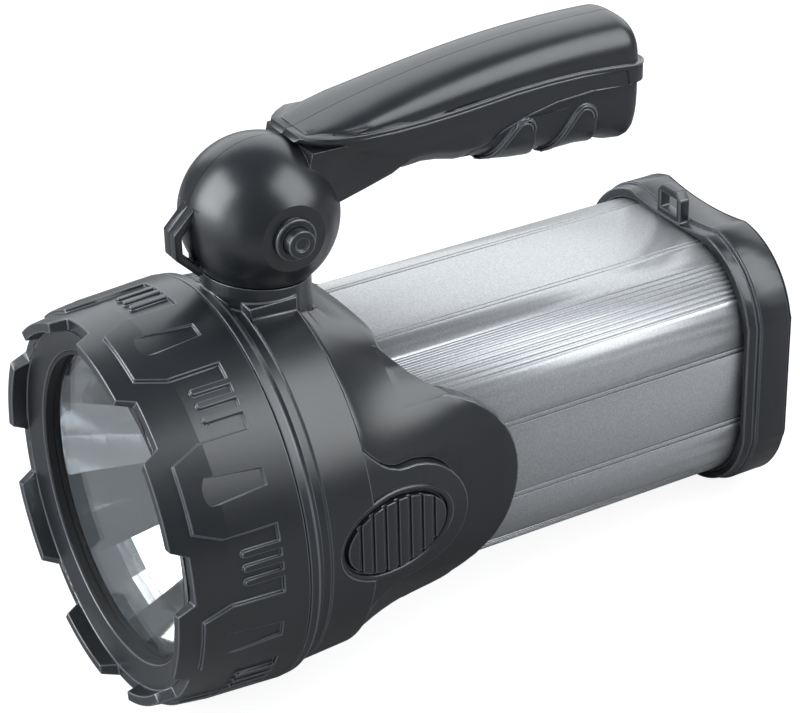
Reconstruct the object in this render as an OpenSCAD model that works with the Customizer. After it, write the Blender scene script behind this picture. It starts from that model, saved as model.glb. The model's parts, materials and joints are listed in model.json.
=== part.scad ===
// Rechargeable hand spotlight with a round toothed head, a square metal body
// and a carrying handle on a ball joint. Millimetres, +Z up, the beam leaves along -Y.
// The origin lies under the middle of the lamp, at the height of the bezel's lowest point.

/* [Bezel] */
// Radius of the bezel over its front teeth
bezel_front_r = 57; // [54:0.5:58]
// Radius of the bezel at its rear edge
bezel_rear_r = 61.3; // [60.9:0.1:63]
// Length of the bezel, teeth included
bezel_l = 38.4; // [37:0.2:38.4]
// Number of teeth, pads and fin groups round the bezel
tooth_count = 8; // [6:1:9]
// Turn of the first tooth from the side of the lamp, in degrees
tooth_turn = 30; // [0:1:45]
// Length of a tooth along the beam
tooth_l = 4.9; // [3:0.1:5]
// Width of the gap between two teeth, at its floor
notch_w = 14.4; // [8:0.2:18]
// Height of the raised pads over the bezel's skin
pad_rise = 1.1; // [0.6:0.1:1.3]
// Fins in each group between two pads
fin_count = 3; // [1:1:4]

/* [Optics] */
// Radius of the clear lens
lens_r = 48.6; // [47.6:0.1:48.8]
// Thickness of the clear lens
lens_t = 2.5; // [1.5:0.1:3]
// Radius of the reflector's bright rim
reflector_rim_r = 45.2; // [42:0.2:45.4]
// Depth of the reflector from rim to throat
reflector_depth = 44.5; // [42:0.5:45]
// Radius of the reflector's throat
throat_r = 9; // [8.6:0.1:9.6]

/* [Body] */
// Half the width of the square metal body
body_half = 39.6; // [39:0.1:40]
// Corner radius of the square metal body
body_corner_r = 24; // [22:0.5:25]
// Wall of the metal body
body_wall = 2; // [1.6:0.1:2.2]
// Grooves in each ribbed corner
rib_count = 9; // [5:1:10]
// Overall length of the lamp from teeth to rear cap
lamp_l = 217.6; // [214:0.2:230]

/* [Handle] */
// Radius of the ball at the front of the handle
ball_r = 22.9; // [22.4:0.1:22.9]
// Height of the ball's centre over the beam axis
ball_h = 80.5; // [80:0.1:83]
// Length of the handle behind the ball's centre, rear rim included
grip_l = 123.5; // [118:0.5:126]
// Half the width of the grip
grip_half = 15; // [14:0.2:16]
// Radius of the steel pivot shaft through the ball
shaft_r = 3; // [2.5:0.1:3.2]

/* [Controls] */
// Half the length of the oval power button
button_half_l = 17.5; // [16:0.1:17.6]
// Half the height of the oval power button
button_half_h = 11; // [9:0.1:11.2]
// Travel of the power button
button_travel = 1.8; // [1:0.1:1.8]
// Travel of the round lock button in the ball
lock_travel = 3; // [1:0.1:3]

/* [Hidden] */

$fn = 72;

// Clearances: running fit of a turning shaft, sliding gap of a moving piece,
// seating gap between fixed pieces, and the extra length of a cutting tool.
running_fit = 0.05;
slide_gap = 0.3;
seat_gap = 0.1;
over = 1;

plastic = [0.13, 0.14, 0.15];
rubber = [0.07, 0.07, 0.08];
satin_metal = [0.72, 0.73, 0.74];
steel = [0.6, 0.6, 0.62];
board_green = [0.1, 0.35, 0.2];

// Shared frames

// Lamp frame: y = 0 at the tooth tips, z = 0 on the beam axis.
module lamp() {
    translate([0, -lamp_l / 2, bezel_rear_r]) children();
}

// Stands a shape drawn on +Z up along the beam axis, from y = at towards the rear.
module along_beam(at = 0) {
    translate([0, at, 0]) rotate([-90, 0, 0]) children();
}

// Lays a shape drawn on +Z along +X.
module along_x(at = 0) {
    translate([at, 0, 0]) rotate([0, 90, 0]) children();
}

// Extrudes a side view drawn as [y, z] across the lamp, half each way.
module across(half) {
    rotate([90, 0, 90]) translate([0, 0, -half]) linear_extrude(2 * half) children();
}

module round_square(half, corner) {
    for (sx = [-1, 1], sy = [-1, 1])
        translate([sx * (half - corner), sy * (half - corner)]) circle(corner);
    square([2 * half, 2 * (half - corner)], center = true);
    square([2 * (half - corner), 2 * half], center = true);
}

// A closed skin through a list of rings, each a list of points in the same order.
module skin(rings) {
    n = len(rings[0]);
    m = len(rings);
    polyhedron(
        points = [for (ring = rings) each ring],
        faces = concat(
            [[for (i = [n - 1:-1:0]) i]],
            [for (k = [0:m - 2], i = [0:n - 1])
                [k * n + i, (k + 1) * n + (i + 1) % n, (k + 1) * n + i]],
            [for (k = [0:m - 2], i = [0:n - 1])
                [k * n + i, k * n + (i + 1) % n, (k + 1) * n + (i + 1) % n]],
            [[for (i = [0:n - 1]) (m - 1) * n + i]]));
}

function oval(half_l, half_h, steps = 40) =
    [for (i = [0:steps - 1]) [half_l * cos(360 * i / steps), half_h * sin(360 * i / steps)]];

// Bezel ring
notch_flare = 2.5;
notch_turn = tooth_turn + 180 / tooth_count;
tooth_wall = 3;
lip_over = 1.8;
lip_t = 1.1;
lens_room = 2;
lip_r = lens_r - lip_over;
lip_back_y = 8;
lens_y = 9.6;
lens_pocket_r = lens_r + lens_room;
thread_y = 14.5;
head_spigot_r = 55.5;
thread_bore_r = head_spigot_r + slide_gap;
band_y = 30.5;
pad_front_y = 6.8;
pad_full_y = 15.3;
bend_y = pad_full_y + over;
pad_front_half_share = 0.21;
pad_half_share = 0.297;
fin_front_y = 19.1;
fin_w = 2;
fin_pitch = 4.3;
ramp_front_y = 12.2;
ramp_back_y = 30.2;
ramp_front_half = 4.1;
ramp_back_half = 2.5;
ramp_sink = 0.9;
pad_root_r = 50;
pad_lift = 2;
pad_slope_rise = 1.2;
pad_root = 0.5;

// Radius of the raised pads and of the rear band at a distance behind the teeth.
function raised_r(y) =
    y < bend_y
        ? bezel_front_r + pad_lift + pad_slope_rise * (y - pad_front_y) / (bend_y - pad_front_y)
        : bezel_front_r + pad_lift + pad_slope_rise
            + (bezel_rear_r - bezel_front_r - pad_lift - pad_slope_rise)
                * (y - bend_y) / (bezel_l - bend_y);

function skin_r(y) = y < bend_y
    ? bezel_front_r + (raised_r(bend_y) - pad_rise - bezel_front_r) * y / bend_y
    : raised_r(y) - pad_rise;

// Stands [across, along] drawings up at a turn round the beam, above the radius pad_root_r.
module at_turn(turn) {
    rotate([0, 0, -turn]) rotate([90, 0, 90]) translate([0, 0, pad_root_r]) children();
}

module bezel_body() {
    rotate_extrude()
        polygon([
            [bezel_front_r - tooth_wall, 0], [bezel_front_r, 0],
            [skin_r(bend_y), bend_y], [skin_r(bezel_l), bezel_l],
            [thread_bore_r, bezel_l], [thread_bore_r, thread_y], [lens_pocket_r, thread_y],
            [lens_pocket_r, lip_back_y], [lip_r, lip_back_y], [lip_r, lip_back_y - lip_t],
            [bezel_front_r - tooth_wall, tooth_l + seat_gap]]);
}

module raised_shell() {
    rotate_extrude()
        polygon([
            [skin_r(0) - pad_root, pad_front_y], [raised_r(pad_front_y), pad_front_y],
            [raised_r(bend_y), bend_y], [bezel_rear_r, bezel_l],
            [skin_r(0) - pad_root, bezel_l]]);
}

module pad_outline() {
    pitch = 2 * PI * bezel_front_r / tooth_count;
    front_half = pitch * pad_front_half_share;
    half = pitch * pad_half_share;
    polygon([
        [-front_half, pad_front_y], [front_half, pad_front_y], [half, pad_full_y],
        [half, band_y + over], [-half, band_y + over], [-half, pad_full_y]]);
}

module fin_outline() {
    for (i = [0:fin_count - 1]) {
        t = (i - (fin_count - 1) / 2) * fin_pitch;
        translate([t, fin_front_y + fin_w / 2]) circle(fin_w / 2);
        translate([t - fin_w / 2, fin_front_y + fin_w / 2]) square([fin_w, band_y - fin_front_y]);
    }
}

module ramp_cut() {
    tilt = atan((raised_r(ramp_back_y) - ramp_sink - raised_r(ramp_front_y))
        / (ramp_back_y - ramp_front_y));
    translate([raised_r(ramp_front_y), 0, ramp_front_y])
        rotate([0, tilt, 0])
            rotate([90, 0, 90])
                linear_extrude(over + ramp_sink)
                    polygon([
                        [-ramp_front_half, 0], [ramp_front_half, 0],
                        [ramp_back_half, ramp_back_y - ramp_front_y],
                        [-ramp_back_half, ramp_back_y - ramp_front_y]]);
}

module bezel_ring() {
    color(plastic)
    lamp() along_beam() difference() {
        union() {
            bezel_body();
            intersection() {
                raised_shell();
                union() {
                    translate([0, 0, band_y]) cylinder(h = bezel_l - band_y, r = bezel_rear_r + over);
                    for (i = [0:tooth_count - 1]) {
                        at_turn(tooth_turn + i * 360 / tooth_count)
                            linear_extrude(bezel_rear_r + over - pad_root_r) pad_outline();
                        at_turn(notch_turn + i * 360 / tooth_count)
                            linear_extrude(bezel_rear_r + over - pad_root_r) fin_outline();
                    }
                }
            }
        }
        for (i = [0:tooth_count - 1]) {
            at_turn(notch_turn + i * 360 / tooth_count)
                linear_extrude(bezel_rear_r + over - pad_root_r)
                    polygon([
                        [-notch_w / 2 - notch_flare, 0], [-notch_w / 2 - notch_flare, -over],
                        [notch_w / 2 + notch_flare, -over], [notch_w / 2 + notch_flare, 0],
                        [notch_w / 2, tooth_l], [-notch_w / 2, tooth_l]]);
            rotate([0, 0, -tooth_turn - i * 360 / tooth_count]) ramp_cut();
        }
    }
}

// Lens, gasket and reflector
gasket_in_r = 45.6;
gasket_lip_t = 0.8;
flange_y = 13.5;
flange_t = 1.5;
shell_t = 1.5;
bowl_gain = (pow(reflector_rim_r, 2) - pow(throat_r, 2)) / reflector_depth;
bowl_end_y = flange_y + reflector_depth + pow(throat_r, 2) / bowl_gain;
bowl_steps = 16;

function bowl_r(y) = sqrt(bowl_gain * (bowl_end_y - y));

module lens() {
    color([0.85, 0.9, 0.92, 0.35])
    lamp() along_beam(lens_y) cylinder(h = lens_t, r = lens_r);
}

module lens_gasket() {
    back_y = lens_y + lens_t;
    color(rubber)
    lamp() along_beam() rotate_extrude()
        polygon([
            [gasket_in_r, lip_back_y - gasket_lip_t], [lip_r - seat_gap, lip_back_y - gasket_lip_t],
            [lip_r - seat_gap, lip_back_y], [lens_pocket_r - seat_gap, lip_back_y],
            [lens_pocket_r - seat_gap, flange_y - seat_gap], [lip_r, flange_y - seat_gap],
            [lip_r, back_y], [lens_r + running_fit, back_y], [lens_r + running_fit, lens_y],
            [gasket_in_r, lens_y]]);
}

module reflector() {
    throat_y = flange_y + reflector_depth;
    color([0.9, 0.91, 0.93])
    lamp() along_beam() rotate_extrude()
        polygon(concat(
            [for (i = [bowl_steps:-1:0]) let (y = flange_y + reflector_depth * i / bowl_steps)
                [bowl_r(y), y]],
            [[lens_pocket_r - seat_gap, flange_y],
             [lens_pocket_r - seat_gap, flange_y + flange_t]],
            [for (i = [0:bowl_steps])
                let (y = flange_y + flange_t + (reflector_depth - flange_t) * i / bowl_steps)
                [bowl_r(y) + shell_t, y]]));
}

// Light source
sink_flange_y = 53;
sink_flange_t = 2.5;
sink_cup_r = 24;
sink_flange_r = 32;
sink_base_y = 60;
sink_base_t = 4;
sink_fins = 9;
sink_fin_t = 1.6;
sink_fin_l = 14;
sink_screw_ring_r = 28;
post_r = 7.8;
board_y = 49.3;
board_t = 1.2;
chip_w = 7;
chip_t = 1;
dome_r = 2.8;
led_screw_ring_r = 6;
led_screw_l = 6;
sink_cup_wall = 3.6;
sink_screw_l = 5;
screw_embed = 0.4;
m3_shank_r = 1.35;
m3_head_r = 2.8;
m3_head_t = 2;
led_shank_r = 0.7;
led_head_r = 1.15;

module ring_of(count, ring_r, turn = 0) {
    for (i = [0:count - 1])
        rotate([0, 0, turn + i * 360 / count]) translate([ring_r, 0, 0]) children();
}

module led_board() {
    color(board_green)
    lamp() along_beam(board_y) difference() {
        cylinder(h = board_t, r = post_r - 2 * seat_gap);
        ring_of(2, led_screw_ring_r)
            translate([0, 0, -over]) cylinder(h = board_t + 2 * over, r = led_shank_r + seat_gap);
        ring_of(4, post_r, 45)
            translate([0, 0, -over]) cylinder(h = board_t + 2 * over, r = led_head_r);
    }
}

module led_emitter() {
    color([0.95, 0.9, 0.55])
    lamp() along_beam(board_y) union() {
        translate([-chip_w / 2, -chip_w / 2, -chip_t]) cube([chip_w, chip_w, chip_t]);
        translate([0, 0, -chip_t]) intersection() {
            sphere(dome_r);
            translate([-dome_r, -dome_r, -dome_r - over])
                cube([2 * dome_r, 2 * dome_r, dome_r + over + chip_t / 2]);
        }
    }
}

module led_screws() {
    color(steel)
    lamp() along_beam(board_y) ring_of(2, led_screw_ring_r) {
        translate([0, 0, -led_head_r]) cylinder(h = led_head_r, r = led_head_r);
        translate([0, 0, -led_head_r / 2]) cylinder(h = led_screw_l, r = led_shank_r);
    }
}

module heat_sink() {
    cup_in_r = sink_cup_r - sink_cup_wall;
    color(satin_metal)
    lamp() along_beam() difference() {
        union() {
            translate([0, 0, sink_flange_y]) cylinder(h = sink_flange_t, r = sink_flange_r);
            translate([0, 0, sink_flange_y])
                cylinder(h = sink_base_y + sink_base_t - sink_flange_y, r = sink_cup_r);
            translate([0, 0, board_y + board_t])
                cylinder(h = sink_base_y - board_y - board_t, r = post_r);
            intersection() {
                translate([0, 0, sink_base_y]) cylinder(h = sink_base_t + sink_fin_l, r = sink_cup_r);
                for (i = [0:sink_fins - 1])
                    translate([
                        (i - (sink_fins - 1) / 2) * 2 * sink_cup_r / sink_fins - sink_fin_t / 2,
                        -sink_cup_r, sink_base_y])
                        cube([sink_fin_t, 2 * sink_cup_r, sink_base_t + sink_fin_l]);
            }
        }
        translate([0, 0, sink_flange_y - over]) difference() {
            cylinder(h = sink_base_y - sink_flange_y + over, r = cup_in_r);
            translate([0, 0, -over]) cylinder(h = sink_base_y, r = post_r);
        }
        ring_of(3, sink_screw_ring_r, 30)
            translate([0, 0, sink_flange_y - over])
                cylinder(h = sink_flange_t + 2 * over, r = m3_shank_r + seat_gap);
        translate([0, 0, board_y + board_t - over]) ring_of(2, led_screw_ring_r)
            cylinder(h = led_screw_l + over, r = led_shank_r + seat_gap);
    }
}

module heat_sink_screws() {
    color(steel)
    lamp() along_beam(sink_flange_y + sink_flange_t) ring_of(3, sink_screw_ring_r, 30) {
        cylinder(h = m3_head_t, r = m3_head_r);
        translate([0, 0, screw_embed - sink_screw_l]) cylinder(h = sink_screw_l, r = m3_shank_r);
    }
}

// Head shell with collar, switch boss and neck
head_bore_r = 51.4;
head_front_y = flange_y + flange_t + seat_gap;
collar_y = bezel_l + slide_gap;
collar_r = bezel_rear_r - 0.1;
strip_y = 43.6;
strip_r = 58.6;
head_band_y = 46.6;
head_band_r = 59;
head_end_y = 61.7;
head_end_r = 58.1;
spigot_end_y = 65.7;
spigot_r = 54.4;
bulkhead_y = 50.4;
bulkhead_bore_r = 24;
boss_fall = 0.139;
boss_in_x = 40.2;
boss_mid_y = 75;
boss_half_l = 20;
boss_half_h = 18;
boss_flare = 0.0533;
boss_front_y = 59;
neck_r = 15.8;
neck_y = 57.2;
neck_floor_z = 50;
plinth_half = 16.2;
plinth_top_z = 60;
ball_y = 59.2;
post_shank_r = 4;
post_flange_r = 6.5;
post_flange_z = 57.1;
boss_block_l = 30;
boss_far_y = 100;
collar_fall = 0.3;
collar_bevel_l = 2;
collar_foot = 0.6;
head_flange_t = 2.5;
part_line = 0.15;

// Side view of the switch boss, as [y, z], enlarged all round by grow.
function boss_side(grow) = concat(
    [for (i = [0:6]) let (y = boss_front_y - grow + i * (boss_mid_y - boss_front_y + grow) / 6)
        [y, -boss_half_h - boss_flare * pow(boss_mid_y - y, 2) - grow]],
    [for (i = [1:17]) let (t = -90 + i * 10)
        [boss_mid_y + (boss_half_l + grow) * cos(t), (boss_half_h + grow) * sin(t)]],
    [for (i = [6:-1:0]) let (y = boss_front_y - grow + i * (boss_mid_y - boss_front_y + grow) / 6)
        [y, boss_half_h + boss_flare * pow(boss_mid_y - y, 2) + grow]]);

function boss_r(y) = head_band_r - boss_fall * (y - head_band_y);

module boss_block(grow) {
    intersection() {
        translate([boss_in_x, 0, 0]) rotate([90, 0, 90]) linear_extrude(boss_block_l)
            polygon(boss_side(grow));
        along_beam() rotate_extrude()
            polygon([
                [0, head_band_y], [boss_r(head_band_y) + grow, head_band_y],
                [boss_r(boss_far_y) + grow, boss_far_y], [0, boss_far_y]]);
    }
}

// Button frame: origin on the boss surface, local +Z out along the button's travel.
button_y = 69.5;
button_tilt = atan(boss_fall);
module at_button(sink = 0) {
    translate([boss_r(button_y), button_y, 0])
        rotate([0, 0, button_tilt])
            rotate([90, 0, 90]) translate([0, 0, -sink]) children();
}

button_wall = 3;
button_lip = 1.3;
button_lip_t = 1.2;
button_rise = 0.2;
dish_w = 2.4;
dish_depth = 1.2;
pocket_depth = 7.4;
switch_pocket_depth = 13;
switch_half_l = 13;
switch_half_h = 9;

module neck_solid(grow) {
    translate([0, neck_y, neck_floor_z])
        cylinder(h = ball_h - neck_floor_z, r = neck_r + grow);
    translate([-plinth_half - grow, head_band_y - grow, neck_floor_z])
        cube([2 * (plinth_half + grow), head_end_y - head_band_y + 2 * grow,
            plinth_top_z - neck_floor_z]);
}

module head_shell() {
    color(plastic)
    lamp() difference() {
        union() {
            along_beam() rotate_extrude()
                polygon([
                    [lens_r, head_front_y], [head_spigot_r, head_front_y],
                    [head_spigot_r, collar_y], [collar_r, collar_y], [collar_r - collar_fall, strip_y - collar_bevel_l],
                    [head_band_r + collar_foot, strip_y], [strip_r, strip_y], [strip_r, head_band_y],
                    [head_band_r, head_band_y], [head_end_r, head_end_y], [spigot_r, head_end_y],
                    [spigot_r, spigot_end_y], [head_bore_r, spigot_end_y],
                    [head_bore_r, sink_flange_y], [bulkhead_bore_r, sink_flange_y],
                    [bulkhead_bore_r, bulkhead_y], [head_bore_r, bulkhead_y],
                    [head_bore_r, head_front_y + head_flange_t],
                    [lens_r, head_front_y + head_flange_t]]);
            boss_block(0);
            neck_solid(0);
        }
        translate([0, ball_y, ball_h]) sphere(ball_r + slide_gap);
        translate([0, ball_y, post_flange_z - seat_gap])
            cylinder(h = ball_h - post_flange_z, r = post_flange_r + slide_gap);
        translate([0, ball_y, neck_floor_z - over])
            cylinder(h = ball_h - neck_floor_z, r = post_shank_r + running_fit);
        at_button(dish_depth) linear_extrude(dish_depth + over)
            polygon(oval(button_half_l + dish_w, button_half_h + dish_w));
        at_button(pocket_depth) linear_extrude(2 * pocket_depth)
            polygon(oval(button_half_l + slide_gap, button_half_h + slide_gap));
        at_button(pocket_depth) linear_extrude(pocket_depth - button_wall)
            polygon(oval(button_half_l + button_lip + slide_gap, button_half_h + button_lip + slide_gap));
        at_button(switch_pocket_depth)
            translate([-switch_half_l - seat_gap, -switch_half_h - seat_gap, 0])
                cube([2 * (switch_half_l + seat_gap), 2 * (switch_half_h + seat_gap),
                    switch_pocket_depth - button_wall]);
        along_beam(bulkhead_y - over) ring_of(3, sink_screw_ring_r, 30)
            cylinder(h = sink_flange_y - bulkhead_y + 2 * over, r = m3_shank_r + seat_gap);
    }
}

// Shoulder housing: a skin that runs from the round head into the square body
shoulder_y = head_end_y + 2 * seat_gap;
shoulder_l = 55.6;
sleeve_half = 44;
sleeve_half_h = 42.6;
sleeve_corner_rise = 3;
sleeve_corner_r = body_corner_r + sleeve_corner_rise;
corner_ease_l = 36;
sleeve_rise_l = 33;
shoulder_r = 57.6;
tube_y = 68.2;
tube_gap = 0.3;
flange_in = 1.4;
ear_mid_y = 82;
ear_l = 35.5;
ear_half_h = 32.5;
crest_half = 26;
crest_l = 3;
loft_steps = 14;
loft_arc = 8;

function eased(s, power) = pow(1 - min(1, s), power);
function shoulder_half_w(y) =
    sleeve_half + (shoulder_r - sleeve_half) * eased((y - shoulder_y) / shoulder_l, 2.2);
function shoulder_half_h(y) =
    sleeve_half_h + (shoulder_r - sleeve_half_h) * eased((y - shoulder_y) / sleeve_rise_l, 2);
function shoulder_corner(y) =
    sleeve_corner_r + (shoulder_r - sleeve_corner_r) * eased((y - shoulder_y) / corner_ease_l, 1.6);

// Ring of points round a rounded rectangle at y, four arcs of arc_n steps each.
function frame_ring(half_w, half_h, corner, y, arc_n) =
    [for (q = [0:3], i = [0:arc_n])
        let (t = 90 * q + 90 * i / arc_n,
             sx = (q == 0 || q == 3) ? 1 : -1,
             sz = q < 2 ? 1 : -1)
        [sx * (half_w - corner) + corner * cos(t), y, sz * (half_h - corner) + corner * sin(t)]];

function shoulder_ring(y) =
    frame_ring(shoulder_half_w(y), shoulder_half_h(y),
        min(shoulder_corner(y), shoulder_half_w(y) - 2 * seat_gap,
            shoulder_half_h(y) - 2 * seat_gap), y, loft_arc);

module shoulder_skin() {
    skin([for (i = [0:loft_steps])
        shoulder_ring(shoulder_y + shoulder_l * pow(i / loft_steps, 1.3))]);
}

module ear_keep() {
    across(over + shoulder_r) union() {
        translate([0, -ear_half_h - 2 * shoulder_r]) square([ear_mid_y, 6 * shoulder_r]);
        polygon([for (i = [0:24]) let (t = -90 + 7.5 * i)
            [ear_mid_y + ear_l * cos(t), ear_half_h * sin(t)]]);
    }
    translate([0, 0, -2 * shoulder_r]) linear_extrude(4 * shoulder_r)
        polygon([for (i = [0:24]) let (t = 7.5 * i)
            [crest_half * cos(t), ear_mid_y - over + (crest_l + over) * sin(t)]]);
}

module shoulder_housing() {
    stop_y = tube_y - 2 * seat_gap;
    color(plastic)
    lamp() difference() {
        intersection() {
            shoulder_skin();
            ear_keep();
        }
        along_beam(shoulder_y - over)
            cylinder(h = spigot_end_y + 2 * seat_gap - shoulder_y + over, r = spigot_r + seat_gap);
        along_beam(shoulder_y - over) linear_extrude(shoulder_l + 2 * over) difference() {
            round_square(body_half - body_wall - flange_in, body_corner_r - body_wall - flange_in);
            for (sx = [-1, 1], sz = [-1, 1]) translate([sx * port_place, sz * port_place])
                circle(port_r + flange_in);
        }
        along_beam(stop_y) linear_extrude(shoulder_l + 2 * over)
            round_square(body_half + tube_gap, body_corner_r + tube_gap);
        neck_solid(part_line);
        boss_clear();
        along_beam(shoulder_y) for (sx = [-1, 1], sz = [-1, 1])
            translate([sx * port_place, sz * port_place, 0])
                cylinder(h = shoulder_l, r = m3_shank_r + seat_gap);
    }
}

module boss_clear() {
    translate([boss_in_x - over, 0, 0]) rotate([90, 0, 90]) linear_extrude(boss_block_l)
        polygon(boss_side(part_line));
}

// Power button and its switch
button_t = 4.2;
stem_r = 2.4;
button_grooves = 7;
groove_w = 1.1;
groove_depth = 0.9;
switch_top = 7.7;
switch_floor = 11.3;
switch_board_t = 1.2;
plunger_r = 1.7;
plunger_l = 3;
plunger_play = 0.4;
plunger_guide = 0.5;
switch_half = 4;
switch_board_in = 1;

module power_button() {
    stem_end = switch_top - button_travel - plunger_play;
    color(plastic)
    lamp() difference() {
        union() {
            at_button(button_t) linear_extrude(button_t + button_rise)
                polygon(oval(button_half_l, button_half_h));
            at_button(button_wall + seat_gap + button_lip_t) linear_extrude(button_lip_t)
                polygon(oval(button_half_l + button_lip, button_half_h + button_lip));
            at_button(stem_end) cylinder(h = stem_end - button_t + over, r = stem_r);
        }
        for (i = [0:button_grooves - 1]) {
            place = (i - (button_grooves - 1) / 2) * 2 * button_half_l / (button_grooves + 1);
            at_button(groove_depth) translate([place - groove_w / 2, -button_half_h, 0])
                cube([groove_w, 2 * button_half_h, groove_depth + button_rise + over]);
        }
    }
}

module switch_plunger() {
    stem_end = switch_top - button_travel - plunger_play;
    color([0.8, 0.8, 0.78])
    lamp() at_button(stem_end + plunger_l) cylinder(h = plunger_l, r = plunger_r);
}

module switch_body() {
    color([0.15, 0.15, 0.16])
    lamp() difference() {
        at_button(switch_floor)
            translate([-switch_half, -switch_half, 0])
                cube([2 * switch_half, 2 * switch_half, switch_floor - switch_top]);
        at_button(switch_floor - plunger_guide)
            cylinder(h = switch_floor, r = plunger_r + part_line);
    }
}

module switch_board() {
    color(board_green)
    lamp() at_button(switch_floor + switch_board_t)
        translate([switch_board_in - switch_half_l, switch_board_in - switch_half_h, 0])
            cube([2 * (switch_half_l - switch_board_in), 2 * (switch_half_h - switch_board_in),
                switch_board_t]);
}

// Metal body
port_place = 29.5;
port_r = 3.2;
tube_end_y = 206;
top_line_x = 16.5;
side_line_z = 12.4;
line_w = 0.45;
line_cut = 0.75;
line_gap = 1.7;
rib_first_turn = 32;
rib_last_turn = 62;
rib_w = 0.7;
rib_depth = 0.55;
shoulder_screw_l = 14;

module body_outline() {
    core = body_half - body_corner_r;
    difference() {
        union() {
            difference() {
                round_square(body_half, body_corner_r);
                round_square(body_half - body_wall, body_corner_r - body_wall);
            }
            for (sx = [-1, 1], sz = [-1, 1]) translate([sx * port_place, sz * port_place])
                circle(port_r);
        }
        for (sx = [-1, 1], sz = [-1, 1]) {
            translate([sx * port_place, sz * port_place]) circle(m3_shank_r + running_fit);
            for (i = [0:rib_count - 1]) {
                t = rib_first_turn + (rib_last_turn - rib_first_turn) * i / (rib_count - 1);
                translate([sx * (core + body_corner_r * cos(t)), sz * (core + body_corner_r * sin(t))])
                    rotate([0, 0, sx * sz * t])
                        square([2 * rib_depth, rib_w], center = true);
            }
            for (step = [-0.5, 0.5]) {
                translate([sx * (top_line_x + step * line_gap), sz * body_half])
                    square([line_w, 2 * line_cut], center = true);
                translate([sx * body_half, sz * (side_line_z + step * line_gap)])
                    square([2 * line_cut, line_w], center = true);
            }
        }
    }
}

module body_tube() {
    color(satin_metal)
    lamp() along_beam(tube_y) linear_extrude(tube_end_y - tube_y) body_outline();
}

module shoulder_screws() {
    color(steel)
    lamp() for (sx = [-1, 1], sz = [-1, 1]) translate([sx * port_place, 0, sz * port_place]) {
        along_beam(spigot_end_y + 2 * seat_gap - m3_head_t) cylinder(h = m3_head_t, r = m3_head_r);
        along_beam(spigot_end_y) cylinder(h = shoulder_screw_l, r = m3_shank_r);
    }
}

// Battery, its brackets and the charging board
battery_w = 70;
battery_h = 47;
battery_y = 88;
battery_l = 101;
battery_lid_l = 4;
tab_w = 6.3;
tab_t = 0.8;
tab_l = 6;
tab_place = 22;
bracket_t = 4;
bracket_gap = 0.4;
front_bracket_y = 94;
rear_bracket_y = 185;
circuit_y = 90.5;
circuit_l = 98;
circuit_half = 24;
circuit_z = 26.4;
circuit_t = 1.6;
lid_in = 1;
vent_r = 3.5;
vent_pitch = 12;
tab_slot_l = 3;
tab_hole_r = 0.9;
back_plate_t = 2;
back_window_w = 30;
back_window_h = 20;

module battery_case() {
    color([0.2, 0.21, 0.23])
    lamp() translate([-battery_w / 2, battery_y + battery_lid_l, -battery_h / 2])
        cube([battery_w, battery_l - battery_lid_l, battery_h]);
}

module battery_lid() {
    color([0.75, 0.73, 0.66])
    lamp() difference() {
        translate([lid_in - battery_w / 2, battery_y, lid_in - battery_h / 2])
            cube([battery_w - 2 * lid_in, battery_lid_l, battery_h - 2 * lid_in]);
        for (i = [-1:1])
            translate([i * vent_pitch, 0, 0]) along_beam(battery_y - over)
                cylinder(h = 2 * over, r = vent_r);
        for (sx = [-1, 1])
            translate([sx * tab_place - tab_w / 2 - seat_gap, battery_y - over, -tab_t / 2 - seat_gap])
                cube([tab_w + 2 * seat_gap, over + tab_slot_l, tab_t + 2 * seat_gap]);
    }
}

module battery_terminals() {
    color([0.8, 0.76, 0.6])
    lamp() for (sx = [-1, 1]) difference() {
        translate([sx * tab_place - tab_w / 2, battery_y - tab_l, -tab_t / 2])
            cube([tab_w, tab_l + tab_slot_l - seat_gap, tab_t]);
        translate([sx * tab_place, battery_y - 2 * tab_l / 3, -over])
            cylinder(h = 2 * over, r = tab_hole_r);
    }
}

module bracket_outline() {
    inset = body_wall + bracket_gap;
    difference() {
        round_square(body_half - inset, body_corner_r - inset);
        for (sx = [-1, 1], sz = [-1, 1]) translate([sx * port_place, sz * port_place])
            circle(port_r + bracket_gap);
        translate([-circuit_half - seat_gap, -circuit_z - circuit_t - seat_gap])
            square([2 * (circuit_half + seat_gap), circuit_t + 2 * seat_gap]);
    }
}

module battery_window() {
    square([battery_w + 2 * seat_gap, battery_h + 2 * seat_gap], center = true);
}

module front_bracket() {
    color(plastic)
    lamp() along_beam(front_bracket_y) linear_extrude(bracket_t) difference() {
        bracket_outline();
        battery_window();
    }
}

module rear_bracket() {
    color(plastic)
    lamp() {
        along_beam(rear_bracket_y) linear_extrude(battery_y + battery_l + seat_gap - rear_bracket_y)
            difference() {
                bracket_outline();
                battery_window();
            }
        along_beam(battery_y + battery_l + seat_gap) linear_extrude(back_plate_t) difference() {
            bracket_outline();
            square([back_window_w, back_window_h], center = true);
        }
    }
}

module driver_board() {
    color(board_green)
    lamp() translate([-circuit_half, circuit_y, circuit_z])
        cube([2 * circuit_half, circuit_l, circuit_t]);
}

// Parts on the board: capacitors in a row, a coil, two chips and a row of resistors.
// Places are shares of the board's half width and length, sizes are [x, y, z].
can_r = 4;
can_h = 7;
can_count = 3;
can_pitch = 12;
can_shares = [-0.58, 0.22];
coil_size = [12, 12, 6];
coil_shares = [0.33, 0.38];
driver_size = [10, 5, 1.8];
driver_shares = [-0.67, 0.36];
charger_size = [8, 8, 2.2];
charger_shares = [-0.67, 0.51];
resistor_size = [3.2, 1.6, 1];
resistor_count = 5;
resistor_pitch = 8;
resistor_shares = [-0.75, 0.67];

module on_board(shares) {
    translate([shares[0] * circuit_half, circuit_y + shares[1] * circuit_l, circuit_z + circuit_t])
        children();
}

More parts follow.
